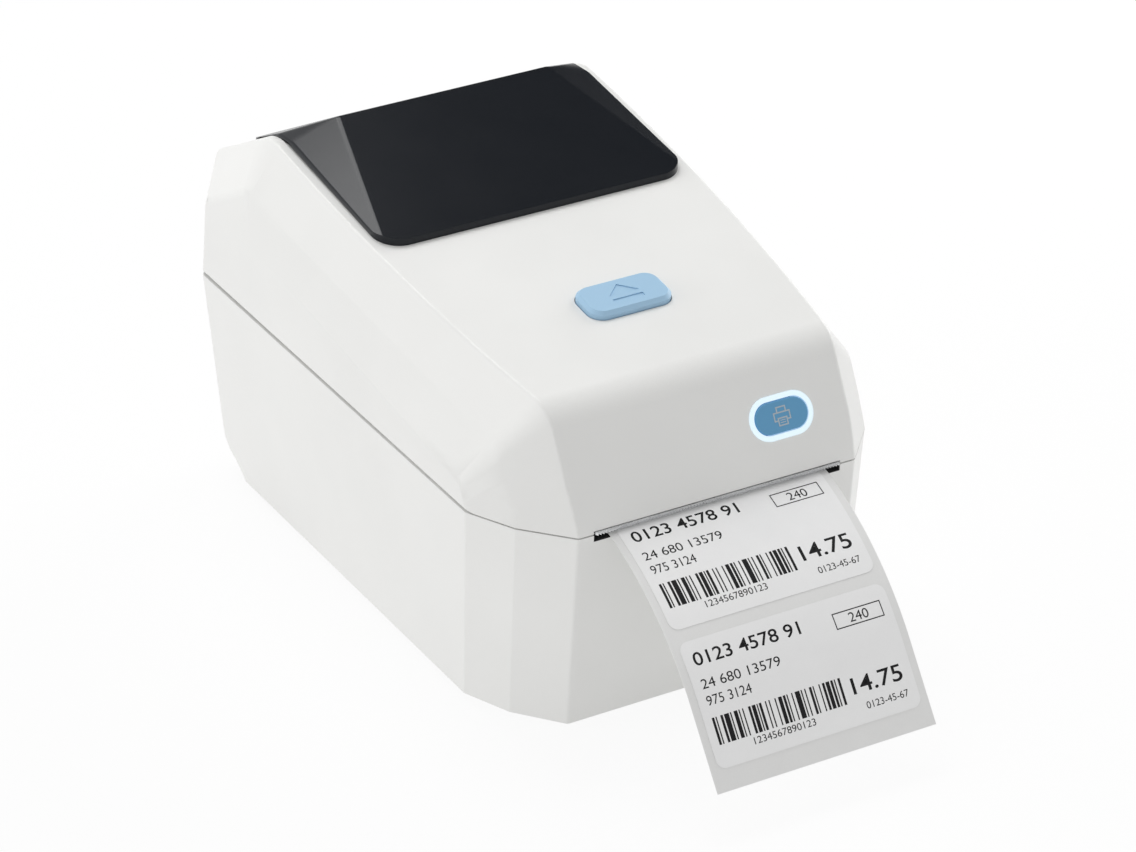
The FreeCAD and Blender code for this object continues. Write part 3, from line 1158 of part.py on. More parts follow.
bar_ear = box(LATCH_EAR, LATCH_EAR + EAR_THICK, LATCH_Y - EAR_HALF, LATCH_Y + EAR_HALF, frame_top,
              LATCH_Z + BAR_EAR_TOP)
inner = joined([sheet] + both(head_ear) + both(hold_ear) + both(bar_ear))
hook_gap = box(HOOK_X - HOOK_GAP, HOOK_X + HOOK_THICK + HOOK_GAP, LATCH_Y - HOOK_SWING,
               LATCH_Y + HOOK_RETURN,
               FRAME_Z - 1, frame_top + 1)
cuts = both(hook_gap)
cuts.append(rod(PIVOT_R, -SIDE_HALF, SIDE_HALF, PIVOT_Y, pivot_z))
cuts.append(rod(HOLD_R, -SIDE_HALF, SIDE_HALF, HOLD_Y, HOLD_Z))
cuts.append(rod(LATCH_BAR_R + RUN_GAP, -SIDE_HALF, SIDE_HALF, LATCH_Y, LATCH_Z))
cuts += [post(SCREW_R + 2 * SCREW_GAP, x, y, z - 2 * FRAME_THICK, z + 1) for x, y, z in boss_spots]
save("lid_frame", without(inner, cuts))
save("lid_screws", group([screw(SCREW_R, SCREW_HEAD_R, SCREW_HEAD, SCREW_LONG, x, y, z - FRAME_THICK, False)
                          for x, y, z in boss_spots]))
save("hold_down_rod", rod(HOLD_R, -hold_in - EAR_THICK, hold_in + EAR_THICK, HOLD_Y, HOLD_Z))
save("head_pivot_pin", rod(PIVOT_R, -ear_in - EAR_THICK, ear_in + EAR_THICK, PIVOT_Y, pivot_z))

# Print head: ceramic strip on a heat sink, on a bracket that floats on the pivot pin.
save("head_ceramic", box(-HEAD_HALF, HEAD_HALF, HEAD_FRONT, CERAMIC_BACK, CERAMIC_Z, SINK_Z))
fins = both(box(HEAD_HALF - SINK_GROOVE_IN - SINK_GROOVE, HEAD_HALF - SINK_GROOVE_IN,
                HEAD_FRONT + SINK_GROOVE_FRONT, SINK_BACK + 1, BRACKET_Z - SINK_GROOVE_DEEP, BRACKET_Z + 1))
sink = box(-HEAD_HALF, HEAD_HALF, HEAD_FRONT, SINK_BACK, SINK_Z, BRACKET_Z)
save("head_sink", without(sink, fins))
bracket = box(-BRACKET_HALF, BRACKET_HALF, HEAD_FRONT + BRACKET_FRONT, SINK_BACK + BRACKET_BACK,
              BRACKET_Z, BRACKET_Z + BRACKET_THICK)
lug = rod(LUG_R, BRACKET_HALF - LUG_THICK, BRACKET_HALF, PIVOT_Y, pivot_z)
lug = lug.fuse(box(BRACKET_HALF - LUG_THICK, BRACKET_HALF, SINK_BACK + BRACKET_BACK / 2, PIVOT_Y, pivot_z,
                   BRACKET_Z + BRACKET_THICK))
bracket = joined([bracket] + both(lug))
save("head_bracket", bracket.cut(rod(PIVOT_R + RUN_GAP, -SIDE_HALF, SIDE_HALF, PIVOT_Y, pivot_z)))
spring_z = BRACKET_Z + BRACKET_THICK + SPRING_GAP
spring = coil(HEAD_SPRING_R, SPRING_WIRE, LEDGE_Z - SPRING_GAP - spring_z, HEAD_SPRING_TURNS)
spring.translate(Vector(HEAD_SPRING_X, HEAD_SPRING_Y, spring_z))
second_spring = spring.copy()
second_spring.translate(Vector(-2 * HEAD_SPRING_X, 0, 0))
save("head_springs", group([spring, second_spring]))

# Toothed tear bar under the lid's front edge.
bar_z = SEAM_TOP - TEAR_THICK / 4
count = int(2 * SLOT_HALF / TOOTH_PITCH)
start = -count * TOOTH_PITCH / 2
outline = [Vector(-SLOT_HALF, TEAR_BACK, bar_z), Vector(-SLOT_HALF, TOOTH_DEEP - TEAR_TIP, bar_z)]
for i in range(count):
    outline += [Vector(start + (i + 0.5) * TOOTH_PITCH, -TEAR_TIP, bar_z),
                Vector(start + (i + 1) * TOOTH_PITCH, TOOTH_DEEP - TEAR_TIP, bar_z)]
outline.append(Vector(SLOT_HALF, TEAR_BACK, bar_z))
blade = polygon(outline).extrude(Vector(0, 0, TEAR_THICK))
upstand = box(-SLOT_HALF, SLOT_HALF, TEAR_BACK - TEAR_THICK, TEAR_BACK, bar_z, SEAM_TOP + TEAR_TALL)
holes = [Part.makeCylinder(SMALL_SCREW_R + SCREW_GAP, TEAR_BACK, Vector(x, 2 * TEAR_TIP, z), Vector(0, 1, 0))
         for x, z in tear_spots]
save("tear_bar", without(joined([blade, upstand]), holes))
screws = []
for x, z in tear_spots:
    piece = screw(SMALL_SCREW_R, SMALL_HEAD_R, SMALL_HEAD, TEAR_SCREW_LONG, 0, 0, 0)
    piece.rotate(Vector(), Vector(1, 0, 0), -90)
    piece.translate(Vector(x, TEAR_BACK, z))
    screws.append(piece)
save("tear_bar_screws", group(screws))

# Opening button, its springs and the latch bar with two hooks.
cap = rounded_plate(OPEN_WIDE, OPEN_LONG, OPEN_CORNER, -WALL - OPEN_DEEP, OPEN_PROUD)
cap = cap.makeChamfer(OPEN_EDGE, [e for e in cap.Edges if e.BoundBox.ZMin > OPEN_PROUD - 0.01])
skirt_top = -WALL - SLIDE_GAP
skirt_low = skirt_top - SKIRT_THICK
stem_foot = skirt_low - STEM_LONG
skirt = rounded_plate(OPEN_WIDE + 2 * SKIRT_LAP, OPEN_LONG + 2 * SKIRT_LAP, OPEN_CORNER + SKIRT_LAP,
                      skirt_low, skirt_top)
stem = box(-STEM_HALF, STEM_HALF, -STEM_FRONT, STEM_BACK, stem_foot, skirt_top)
save("open_button", on_top(joined([cap, skirt, stem]), OPEN_Y))
slope = math.radians(TOP_SLOPE)
spring_long = (top_z(OPEN_Y) - frame_top) / math.cos(slope) + skirt_low
springs = []
for x in (-OPEN_SPRING_X, OPEN_SPRING_X):
    piece = coil(OPEN_SPRING_R, SPRING_WIRE, spring_long - OPEN_SPRING_FREE, OPEN_SPRING_TURNS)
    piece.translate(Vector(x, 0, skirt_low - spring_long + OPEN_SPRING_LIFT))
    springs.append(on_top(piece, OPEN_Y))
save("open_springs", group(springs))
stem_middle = (STEM_BACK - STEM_FRONT) / 2
pad_y = OPEN_Y + stem_middle * math.cos(slope) - stem_foot * math.sin(slope)
pad_z = top_z(OPEN_Y) - STEM_FRONT * math.sin(slope) + stem_foot * math.cos(slope) - PAD_GAP
lever = box(-LEVER_HALF, LEVER_HALF, LATCH_Y, pad_y + LEVER_LONG, pad_z - LEVER_THICK, pad_z)
web = box(-LEVER_HALF, LEVER_HALF, LATCH_Y - LATCH_BAR_R, LATCH_Y + LATCH_BAR_R, LATCH_Z, pad_z)
nose_y = CATCH_Y - STUD_R - CATCH_GAP
hook = prism([(LATCH_Y - HOOK_BACK, LATCH_Z + HOOK_TOP), (LATCH_Y - HOOK_BACK, HOOK_LOW), (nose_y, HOOK_LOW),
              (nose_y, HOOK_LOW + NOSE_TIP), (LATCH_Y - CATCH_GAP, HOOK_LOW + NOSE_TALL),
              (LATCH_Y - CATCH_GAP, LATCH_Z - HOOK_LEVER), (LATCH_Y + HOOK_FRONT, LATCH_Z - LATCH_BAR_R),
              (LATCH_Y + HOOK_FRONT, LATCH_Z + HOOK_TOP)], HOOK_X, HOOK_X + HOOK_THICK)
bar = rod(LATCH_BAR_R, -LATCH_EAR - LATCH_END, LATCH_EAR + LATCH_END, LATCH_Y, LATCH_Z)
save("latch_bar", joined([bar, lever, web] + both(hook)))

# Feed button, light ring and the small board behind it.
hole = (RING_WIDE - 2 * RING_BAND, RING_TALL - 2 * RING_BAND)
ring = rounded_plate(RING_WIDE, RING_TALL, RING_TALL, -WALL - RING_DEEP, RING_PROUD)
ring = ring.fuse(rounded_plate(RING_WIDE + 2 * RING_LAP, RING_TALL + 2 * RING_LAP, RING_TALL,
                               -WALL - RING_DEEP,
                               -WALL - RING_SEAT))
save("feed_ring", on_front(ring.cut(rounded_plate(*hole, RING_TALL, -BOARD_DEPTH, WALL)).removeSplitter()))
key = rounded_plate(hole[0] - 2 * SLIDE_GAP, hole[1] - 2 * SLIDE_GAP, RING_TALL, -WALL - FEED_DEEP,
                    FEED_PROUD)
key = key.makeFillet(FEED_SOFT, [e for e in key.Edges if e.BoundBox.ZMin > FEED_PROUD - 0.01])
stop = rounded_plate(hole[0] + 2 * FEED_STOP_LAP, hole[1] + 2 * FEED_STOP_LAP, RING_TALL, -WALL - FEED_STOP,
                     -WALL - FEED_STOP_TOP)
plunger = post(PLUNGER_R, 0, 0, -WALL - PLUNGER_DEEP, -WALL - FEED_STOP_TOP)
save("feed_button", on_front(joined([key, stop, plunger])))
board = box(-BUTTON_BOARD_HALF, BUTTON_BOARD_HALF, -BUTTON_BOARD_LOW, BUTTON_BOARD_HIGH,
            -BOARD_DEPTH - BOARD_THICK,
            -BOARD_DEPTH)
save("button_board", on_front(board))
switch_tall = BOARD_DEPTH - WALL - PLUNGER_DEEP - FEED_TRAVEL - SLIDE_GAP
switch = box(-SWITCH_HALF, SWITCH_HALF, -SWITCH_HALF, SWITCH_HALF, -BOARD_DEPTH,
             -BOARD_DEPTH + switch_tall - SWITCH_KEY)
switch = switch.fuse(post(SWITCH_KEY_R, 0, 0, -BOARD_DEPTH, -BOARD_DEPTH + switch_tall))
save("feed_switch", on_front(switch))
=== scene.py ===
import math

import bmesh
import bpy
from mathutils import Matrix, Vector


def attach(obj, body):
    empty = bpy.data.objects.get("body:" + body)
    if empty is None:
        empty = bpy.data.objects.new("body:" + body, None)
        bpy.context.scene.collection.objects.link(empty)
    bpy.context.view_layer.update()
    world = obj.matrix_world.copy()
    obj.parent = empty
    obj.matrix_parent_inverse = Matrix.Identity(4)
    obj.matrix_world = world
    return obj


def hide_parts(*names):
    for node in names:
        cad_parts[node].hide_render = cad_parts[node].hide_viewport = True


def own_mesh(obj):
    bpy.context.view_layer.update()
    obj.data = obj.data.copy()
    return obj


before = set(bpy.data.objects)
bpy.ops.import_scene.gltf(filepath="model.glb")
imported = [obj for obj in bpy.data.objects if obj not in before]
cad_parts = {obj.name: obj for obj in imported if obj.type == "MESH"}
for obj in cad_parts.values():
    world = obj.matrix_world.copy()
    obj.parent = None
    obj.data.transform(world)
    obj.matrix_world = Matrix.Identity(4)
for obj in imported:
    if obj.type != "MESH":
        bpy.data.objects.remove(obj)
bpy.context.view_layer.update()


# Lower case: white tub with faceted corners and an undercut front.
# Injection-moulded ABS with a fine spark-eroded skin; everything else is screwed or snapped into it.
def paint(red, green, blue):
    """Linear colour of a shade with values from 0 to 255."""
    shade = []
    for value in (red / 255, green / 255, blue / 255):
        shade.append(value / 12.92 if value <= 0.04045 else ((value + 0.055) / 1.055) ** 2.4)
    return (*shade, 1.0)


def skin_group(name, **more):
    """Empty node group of a skin: its tree, inputs, results and the place on the object."""
    tree = bpy.data.node_groups.new(name, "ShaderNodeTree")
    tree.interface.new_socket("Colour", in_out="INPUT", socket_type="NodeSocketColor")
    for label, value in {"Roughness": 0.4, **more}.items():
        socket = tree.interface.new_socket(label, in_out="INPUT", socket_type="NodeSocketFloat")
        socket.default_value = value
    for label, kind in (("Colour", "Color"), ("Roughness", "Float"), ("Height", "Float")):
        tree.interface.new_socket(label, in_out="OUTPUT", socket_type="NodeSocket" + kind)
    given = tree.nodes.new("NodeGroupInput").outputs
    results = tree.nodes.new("NodeGroupOutput").inputs
    return tree, given, results, tree.nodes.new("ShaderNodeTexCoord").outputs["Object"]


def filled(tree, results, colour, rough, height):
    """Links the three results of a skin's group."""
    for label, value in (("Colour", colour), ("Roughness", rough), ("Height", height)):
        tree.links.new(value, results[label])
    return tree


def noise(tree, place, scale, detail, rough=0.5):
    """Noise node on a place socket; scale may be a number or another node's socket."""
    node = tree.nodes.new("ShaderNodeTexNoise")
    tree.links.new(place, node.inputs["Vector"])
    if isinstance(scale, (int, float)):
        node.inputs["Scale"].default_value = scale
    else:
        tree.links.new(scale, node.inputs["Scale"])
    node.inputs["Detail"].default_value = detail
    node.inputs["Roughness"].default_value = rough
    return node.outputs[0]


def spread(tree, value, low, high, start=0.25, end=0.75):
    """Map Range node that turns start..end of a value into low..high."""
    node = tree.nodes.new("ShaderNodeMapRange")
    tree.links.new(value, node.inputs["Value"])
    for label, number in (("From Min", start), ("From Max", end), ("To Min", low), ("To Max", high)):
        node.inputs[label].default_value = number
    return node.outputs["Result"]


def worked(tree, kind, first, second):
    """Math node of one kind on two sockets."""
    node = tree.nodes.new("ShaderNodeMath")
    node.operation = kind
    for slot, value in zip(node.inputs, (first, second)):
        tree.links.new(value, slot)
    return node.outputs[0]


def shaded(tree, colour, value):
    """Colour made lighter or darker by a value socket."""
    node = tree.nodes.new("ShaderNodeHueSaturation")
    tree.links.new(colour, node.inputs["Color"])
    tree.links.new(value, node.inputs["Value"])
    return node.outputs["Color"]


def moulded_skin():
    """Spark-eroded grain, slow flow marks and a little handling sheen of a moulded plastic."""
    tree, given, results, place = skin_group("moulded skin", Grain=2400.0, Handling=1.0)
    grain = noise(tree, place, given["Grain"], 3.0, 0.6)
    flow = noise(tree, place, 18.0, 2.0)
    handled = noise(tree, place, 55.0, 4.0, 0.65)
    colour = shaded(tree, given["Colour"], spread(tree, flow, 0.975, 1.02))
    rough = worked(tree, "ADD", spread(tree, handled, -0.05, 0.05), spread(tree, grain, -0.03, 0.03))
    rough = worked(tree, "MULTIPLY", rough, given["Handling"])
    rough = worked(tree, "ADD", rough, given["Roughness"])
    return filled(tree, results, colour, rough, grain)


def surface(name, skin, colour, bump_deep, rough, fineness, **more):
    """Material of one skin on a Principled shader; more holds other values of either of them."""
    material = bpy.data.materials.new(name)
    material.use_nodes = True
    tree = material.node_tree
    principled = tree.nodes["Principled BSDF"]
    group = tree.nodes.new("ShaderNodeGroup")
    group.node_tree = skin
    for socket, value in zip(group.inputs, (colour, rough, fineness)):
        socket.default_value = value
    bump = tree.nodes.new("ShaderNodeBump")
    bump.inputs["Distance"].default_value = bump_deep
    tree.links.new(group.outputs["Height"], bump.inputs["Height"])
    tree.links.new(bump.outputs["Normal"], principled.inputs["Normal"])
    tree.links.new(group.outputs["Colour"], principled.inputs["Base Color"])
    tree.links.new(group.outputs["Roughness"], principled.inputs["Roughness"])
    for label, value in more.items():
        node = group if label in group.inputs else principled
        node.inputs[label.replace("_", " ")].default_value = value
    return material


def coat(material, *nodes):
    """Gives carried-over solids their finish."""
    for node in nodes:
        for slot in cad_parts[node].material_slots:
            slot.material = material


plastic = moulded_skin()
shell_white = surface("shell white", plastic, paint(236, 236, 234), 0.00002, 0.42, 2400.0)
coat(shell_white, "lower_case")


# Underside hatch: flat cover that carries the boards on standoffs.
# Moulded in a light grey of the same plastic and held by cross-head screws.
shell_grey = surface("shell grey", plastic, paint(205, 206, 207), 0.00003, 0.5, 1800.0)
coat(shell_grey, "hatch")


def drawn_metal():
    """Fine lines along x and cloudy tarnish of drawn or rolled metal."""
    tree, given, results, place = skin_group("drawn metal", Lines=900.0)
    stretch = tree.nodes.new("ShaderNodeMapping")
    stretch.inputs["Scale"].default_value = (0.03, 1.0, 1.0)
    tree.links.new(place, stretch.inputs["Vector"])
    lines = noise(tree, stretch.outputs["Vector"], given["Lines"], 3.0, 0.6)
    cloud = noise(tree, place, 70.0, 3.0)
    colour = shaded(tree, given["Colour"], spread(tree, cloud, 0.9, 1.06))
    rough = worked(tree, "ADD", given["Roughness"], spread(tree, lines, -0.06, 0.08))
    rough = worked(tree, "ADD", rough, spread(tree, cloud, -0.04, 0.06))
    return filled(tree, results, colour, rough, lines)


metal = drawn_metal()
plated_steel = surface("plated steel", metal, paint(196, 196, 192), 0.00001, 0.3, 1400.0, Metallic=1.0)
coat(plated_steel, "hatch_screws", "deck_screws", "frame_screws", "motor_screws", "board_screws",
     "lid_screws", "tear_bar_screws", "pinion_keeper")


# Feet: four round rubber bumpers with a rounded tread edge and a shallow dish in the tread.
# Pressed from dark rubber and glued into seats in the bottom of the case; places and outline in mm.
foot_spots = ((46.0, -50.906), (-46.0, -50.906), (54.0, 89.094), (-54.0, 89.094))
foot_outline = ((0, 0.5), (4.6, 0.5), (5.0, 0.1), (5.3, 0), (6.1, 0), (6.6, 0.2), (6.9, 0.6),
                (7.0, 1.1), (7.0, 2.6), (0, 2.6))
foot_steps = 48
weld = 1e-6
crease_angle = 35


def rubber_bloom():
    """Dull moulded rubber with a pale bloom and dust in its pores."""
    tree, given, results, place = skin_group("rubber bloom", Pores=1500.0)
    pores = noise(tree, place, given["Pores"], 4.0, 0.7)
    bloom = noise(tree, place, 160.0, 4.0, 0.6)
    colour = shaded(tree, given["Colour"], spread(tree, bloom, 0.8, 1.35))
    rough = worked(tree, "ADD", given["Roughness"], spread(tree, bloom, -0.08, 0.08))
    return filled(tree, results, colour, rough, pores)


def mesh_of(bm, name):
    """Mesh of a finished bmesh, which is freed."""
    mesh = bpy.data.meshes.new(name)
    bm.to_mesh(mesh)
    bm.free()
    return mesh


def merged(whole, part):
    """Adds a finished bmesh to another one."""
    spare = mesh_of(part, "spare")
    whole.from_mesh(spare)
    bpy.data.meshes.remove(spare)


def placed(name, data):
    """New object in the scene for a mesh, text, lamp or camera."""
    thing = bpy.data.objects.new(name, data)
    bpy.context.scene.collection.objects.link(thing)
    return thing


def shape_piece(bm, name, material, body, crease=crease_angle):
    """Turns a finished bmesh into a named piece that rides on a body."""
    mesh = mesh_of(bm, name)
    if "custom_normal" in mesh.attributes:
        mesh.attributes.remove(mesh.attributes["custom_normal"])
    mesh.materials.append(material)
    mesh.shade_smooth()
    mesh.set_sharp_from_angle(angle=math.radians(crease))
    piece = placed(name, mesh)
    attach(piece, body)
    return piece


def spun(outline, centre, axis, steps):
    """Bmesh of a closed body spun from points (radius, height) about an axis through centre."""
    bm = bmesh.new()
    side = Vector((0, 0, 1)) if axis.x else Vector((1, 0, 0))
    points = [bm.verts.new(centre + side * radius + axis * height) for radius, height in outline]
    edges = [bm.edges.new(pair) for pair in zip(points, points[1:])]
    bmesh.ops.spin(bm, geom=points + edges, cent=centre, axis=axis, angle=2 * math.pi, steps=steps,
                   use_merge=True)
    bmesh.ops.remove_doubles(bm, verts=bm.verts, dist=weld)
    bmesh.ops.recalc_face_normals(bm, faces=bm.faces)
    return bm


rubber = rubber_bloom()
foot_rubber = surface("foot rubber", rubber, paint(58, 58, 60), 0.00004, 0.75, 1500.0)
bm = bmesh.new()
for x, y in foot_spots:
    merged(bm, spun([(radius / 1000, height / 1000) for radius, height in foot_outline],
                    Vector((x / 1000, y / 1000, 0)), Vector((0, 0, 1)), foot_steps))
feet = shape_piece(bm, "rubber_feet", foot_rubber, "base")
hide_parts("feet")


# Boards: main board under the tray and a small port board at the back wall.
# Glass-epoxy laminate with green solder mask; parts soldered on, held by four screws to the hatch.
def solder_mask():
    """Green lacquer over copper: darker gaps and lighter straight tracks."""
    tree, given, results, place = skin_group("solder mask", Tracks=260.0)
    tracks = tree.nodes.new("ShaderNodeTexBrick")
    tracks.offset = 0.35
    tree.links.new(place, tracks.inputs["Vector"])
    tree.links.new(given["Tracks"], tracks.inputs["Scale"])
    tracks.inputs["Mortar Size"].default_value = 0.03
    for label, grey in (("Color1", 0.9), ("Color2", 1.0), ("Mortar", 0.2)):
        tracks.inputs[label].default_value = (grey, grey, grey, 1)
    cloud = noise(tree, place, 90.0, 3.0)
    track = tracks.outputs["Color"]
    colour = shaded(tree, given["Colour"], spread(tree, track, 0.75, 1.15, 0.0, 1.0))
    rough = worked(tree, "ADD", given["Roughness"], spread(tree, cloud, -0.06, 0.06))
    return filled(tree, results, colour, rough, track)


board_green = surface("board green", solder_mask(), paint(38, 104, 62), 0.00003, 0.35, 260.0)
coat(board_green, "main_board", "port_board", "button_board")
black_plastic = surface("black plastic", plastic, paint(38, 39, 41), 0.00002, 0.45, 2200.0)
coat(black_plastic, "board_components", "power_socket", "usb_tongue", "gap_sensor", "feed_switch")
coat(plated_steel, "usb_socket", "power_pin")


# Media tray: deck and round roll well in one moulding, with the channel for the holders' racks.
# Moulded in light grey plastic and screwed down onto posts of the lower case.
inner_grey = surface("inner grey", plastic, paint(176, 178, 181), 0.00004, 0.52, 1500.0)
coat(inner_grey, "media_tray")


# Roll holders: two arms with flanges and hubs that slide apart on racks, geared by a pinion.
# Moulded white plastic; the pinion turns on a stud of the tray and is kept by a washer screw.
inner_white = surface("inner white", plastic, paint(226, 226, 224), 0.00003, 0.46, 1800.0)
coat(inner_white, "left_roll_holder", "right_roll_holder")
gear_plastic = surface("gear plastic", plastic, paint(222, 217, 204), 0.00002, 0.38, 2600.0)
coat(gear_plastic, "holder_pinion", "platen_gear", "idler_gear")


# Print frame and drive: bent steel cheeks with bushings, stepper motor, pinion, idler and platen gear.
# Galvanised sheet steel; brass pinion pressed on a ground shaft; acetal gears and bushings.
sheet_steel = surface("sheet steel", metal, paint(186, 189, 192), 0.00001, 0.38, 700.0, Metallic=1.0)
coat(sheet_steel, "print_frame")
bush_plastic = surface("bush plastic", plastic, paint(70, 71, 74), 0.00002, 0.4, 2600.0)
coat(bush_plastic, "platen_bushings")
steel = surface("ground steel", metal, paint(204, 204, 203), 0.000005, 0.22, 1800.0, Metallic=1.0)
coat(steel, "idler_stud", "catch_studs", "motor_shaft", "platen_shaft", "hinge_pins", "hold_down_rod",
     "head_pivot_pin")
motor_can = surface("motor can", metal, paint(150, 152, 156), 0.00001, 0.36, 900.0, Metallic=1.0)
coat(motor_can, "stepper_motor")
brass = surface("brass", metal, paint(203, 172, 104), 0.000008, 0.28, 1500.0, Metallic=1.0)
coat(brass, "motor_pinion")


# Platen: steel shaft with a ground rubber sleeve that drives the web under the print head.
# Black rubber bonded to the shaft and ground round, so its skin is even and dull.
platen_black = surface("platen rubber", rubber, paint(46, 46, 48), 0.00002, 0.62, 2600.0)
coat(platen_black, "platen_rubber")


# Slot shade: thin black sheet on the lip of the paper slot and up its two ends, painted shade that stands
# for the slot's dark gap.
# Sheet lying on the top of the lower case's front wall; the web passes above without touching it.
slot_shade_half, slot_shade_thick = 0.0423, 0.0003
slot_shade_low, slot_shade_high = 0.06655, 0.0686
slot_shade_front, slot_shade_back = -0.0786, -0.0765
# Near-black of the sheet: painted shade of the dark gap in the paper slot.
painted_slot_shade = surface("painted slot shade", rubber, paint(22, 22, 23), 0.00004, 0.85, 1400.0)


def thickened(bm, faces, lift):
    """Gives flat faces a thickness along a vector."""
    raised = bmesh.ops.extrude_face_region(bm, geom=faces, use_keep_orig=True)["geom"]
    verts = [part for part in raised if isinstance(part, bmesh.types.BMVert)]
    bmesh.ops.translate(bm, verts=verts, vec=lift)
    bmesh.ops.recalc_face_normals(bm, faces=bm.faces)


slot_shade_in = slot_shade_half - slot_shade_thick
slot_shade_top = slot_shade_low + slot_shade_thick
outline = ((-slot_shade_half, slot_shade_low), (slot_shade_half, slot_shade_low), (slot_shade_half, slot_shade_high),
           (slot_shade_in, slot_shade_high), (slot_shade_in, slot_shade_top), (-slot_shade_in, slot_shade_top),
           (-slot_shade_in, slot_shade_high), (-slot_shade_half, slot_shade_high))
bm = bmesh.new()
face = bm.faces.new([bm.verts.new((x, slot_shade_front, z)) for x, z in outline])
thickened(bm, [face], (0, slot_shade_back - slot_shade_front, 0))
# The black sheet is painted shade in the slot, not a part of the printer.
shape_piece(bm, "slot_painted_shade", painted_slot_shade, "base")


# Lid: white cover with a raked front, sloping top, facet bands down both sides and a slope at the back.
# Same moulded plastic as the case; it swings on two steel pins, and its edges are softly rounded.
lid_round = 0.0016
lid_heart = Vector((0, 0.03, 0.06))
facet_band, facet_line = 0.003, 0.012
cad_weld = 2e-6
flat_bend, least_bend = math.radians(0.2), math.radians(12)


def copy_of(node):
    """Bmesh of a CAD node with its doubled points welded."""
    bm = bmesh.new()
    bm.from_mesh(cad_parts[node].data)
    bmesh.ops.remove_doubles(bm, verts=bm.verts, dist=cad_weld)
    return bm


def softened(node, name, material, radius, keep):
    """Copy of a node on the lid with the outer edges that keep() picks rounded by a bevel."""
    bm = copy_of(node)
    bmesh.ops.dissolve_limit(bm, angle_limit=flat_bend, verts=bm.verts, edges=bm.edges)
    bends = [edge for edge in bm.edges if len(edge.link_faces) == 2 and edge.is_convex
             and edge.calc_face_angle(0) > least_bend]
    bmesh.ops.bevel(bm, geom=[edge for edge in bends if keep(edge)], offset=radius, offset_type="OFFSET",
                    segments=4, profile=0.5, affect="EDGES", clamp_overlap=False, material=-1)
    bmesh.ops.dissolve_degenerate(bm, dist=cad_weld, edges=bm.edges)
    piece = shape_piece(bm, name, material, "lid")
    even = piece.modifiers.new("even faces", "WEIGHTED_NORMAL")
    even.keep_sharp = True
    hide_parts(node)


def band_width(edge):
    """Width of the narrower face beside an edge."""
    return min(face.calc_area() for face in edge.link_faces) / edge.calc_length()


def on_facet_line(edge):
    """True on the long lines between the lid's outer bands."""
    first, second = edge.link_faces
    middle = (edge.verts[0].co + edge.verts[1].co) / 2
    outward = (first.normal + second.normal).dot(middle - lid_heart)
    return outward > 0 and band_width(edge) > facet_band and edge.calc_length() > facet_line


softened("lid_shell", "lid_cover", shell_white, lid_round, on_facet_line)
coat(inner_grey, "lid_frame")


# Window cover: smoked cap over the roll bay with a flat top, sloping facets and rounded corners.
# Near-black polished plastic that snaps into the lid.
window_round = 0.0009
cap_band, cap_line, cap_low = 0.002, 0.004, 0.106
window_smoke = surface("window smoke", plastic, paint(24, 27, 32), 0.000002, 0.22, 2400.0, Handling=0.25,
                       Specular_IOR_Level=0.27)


def on_cap_line(edge):
    """True on the outer lines of the cap that are long enough to round."""
    return band_width(edge) > cap_band and edge.calc_length() > cap_line and edge.verts[0].co.z > cap_low


softened("window_cover", "window_cap", window_smoke, window_round, on_cap_line)


# Print head: ceramic strip on a finned heat sink, on a bracket that turns on a pin, pushed by springs.
# Glazed ceramic, cast aluminium, bent steel and music wire; the latch bar sits above it.
ceramic = surface("ceramic", plastic, paint(214, 208, 196), 0.000004, 0.18, 1200.0)
coat(ceramic, "head_ceramic")
aluminium = surface("aluminium", metal, paint(198, 200, 203), 0.00001, 0.34, 800.0, Metallic=1.0)
coat(aluminium, "head_sink")
coat(sheet_steel, "head_bracket", "latch_bar")
spring_steel = surface("spring steel", metal, paint(170, 170, 172), 0.000006, 0.26, 2000.0, Metallic=1.0)


def coils(node, name):
    """Copy of CAD springs as a piece with a mesh of its own that rides on the lid."""
    bm = copy_of(node)
    piece = shape_piece(bm, name, spring_steel, "lid")
    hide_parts(node)
    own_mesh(piece)


coils("head_springs", "head_coils")


# Tear bar: thin toothed strip over the paper slot.
# Punched stainless steel, screwed to blocks inside the lid's lower edge.
tear_steel = surface("tear steel", metal, paint(222, 223, 224), 0.00001, 0.3, 1200.0, Metallic=1.0)
coat(tear_steel, "tear_bar")


# Opening button: light blue rounded key on the slope, with an engraved open sign of a wedge over a bar.
# Moulded through-coloured plastic; it slides in its hole on two springs and pushes the latch bar.
case_front, foot_stand = -0.07890575, 0.002
open_middle = Vector((0, case_front + 0.05605, foot_stand + 0.10802098))
open_lean = math.radians(7.75)
open_proud = 0.0025
sign_deep, cutter_tall = 0.00035, 0.001
wedge_half, wedge_low, wedge_high = 0.0052, -0.0004, 0.0046
sill_low, sill_high = -0.0040, -0.0022
open_blue = surface("open blue", plastic, paint(163, 199, 226), 0.00002, 0.42, 2400.0)


def on_key(middle, lean, proud):
    """Matrix that carries a flat drawing to the face of a key that leans about x and stands proud."""
    return Matrix.Translation(middle) @ Matrix.Rotation(lean, 4, "X") @ Matrix.Translation((0, 0, proud))


def settled(thing):
    """Mesh of an object as its text or its modifiers make it."""
    shown = thing.evaluated_get(bpy.context.evaluated_depsgraph_get())
    return bpy.data.meshes.new_from_object(shown)


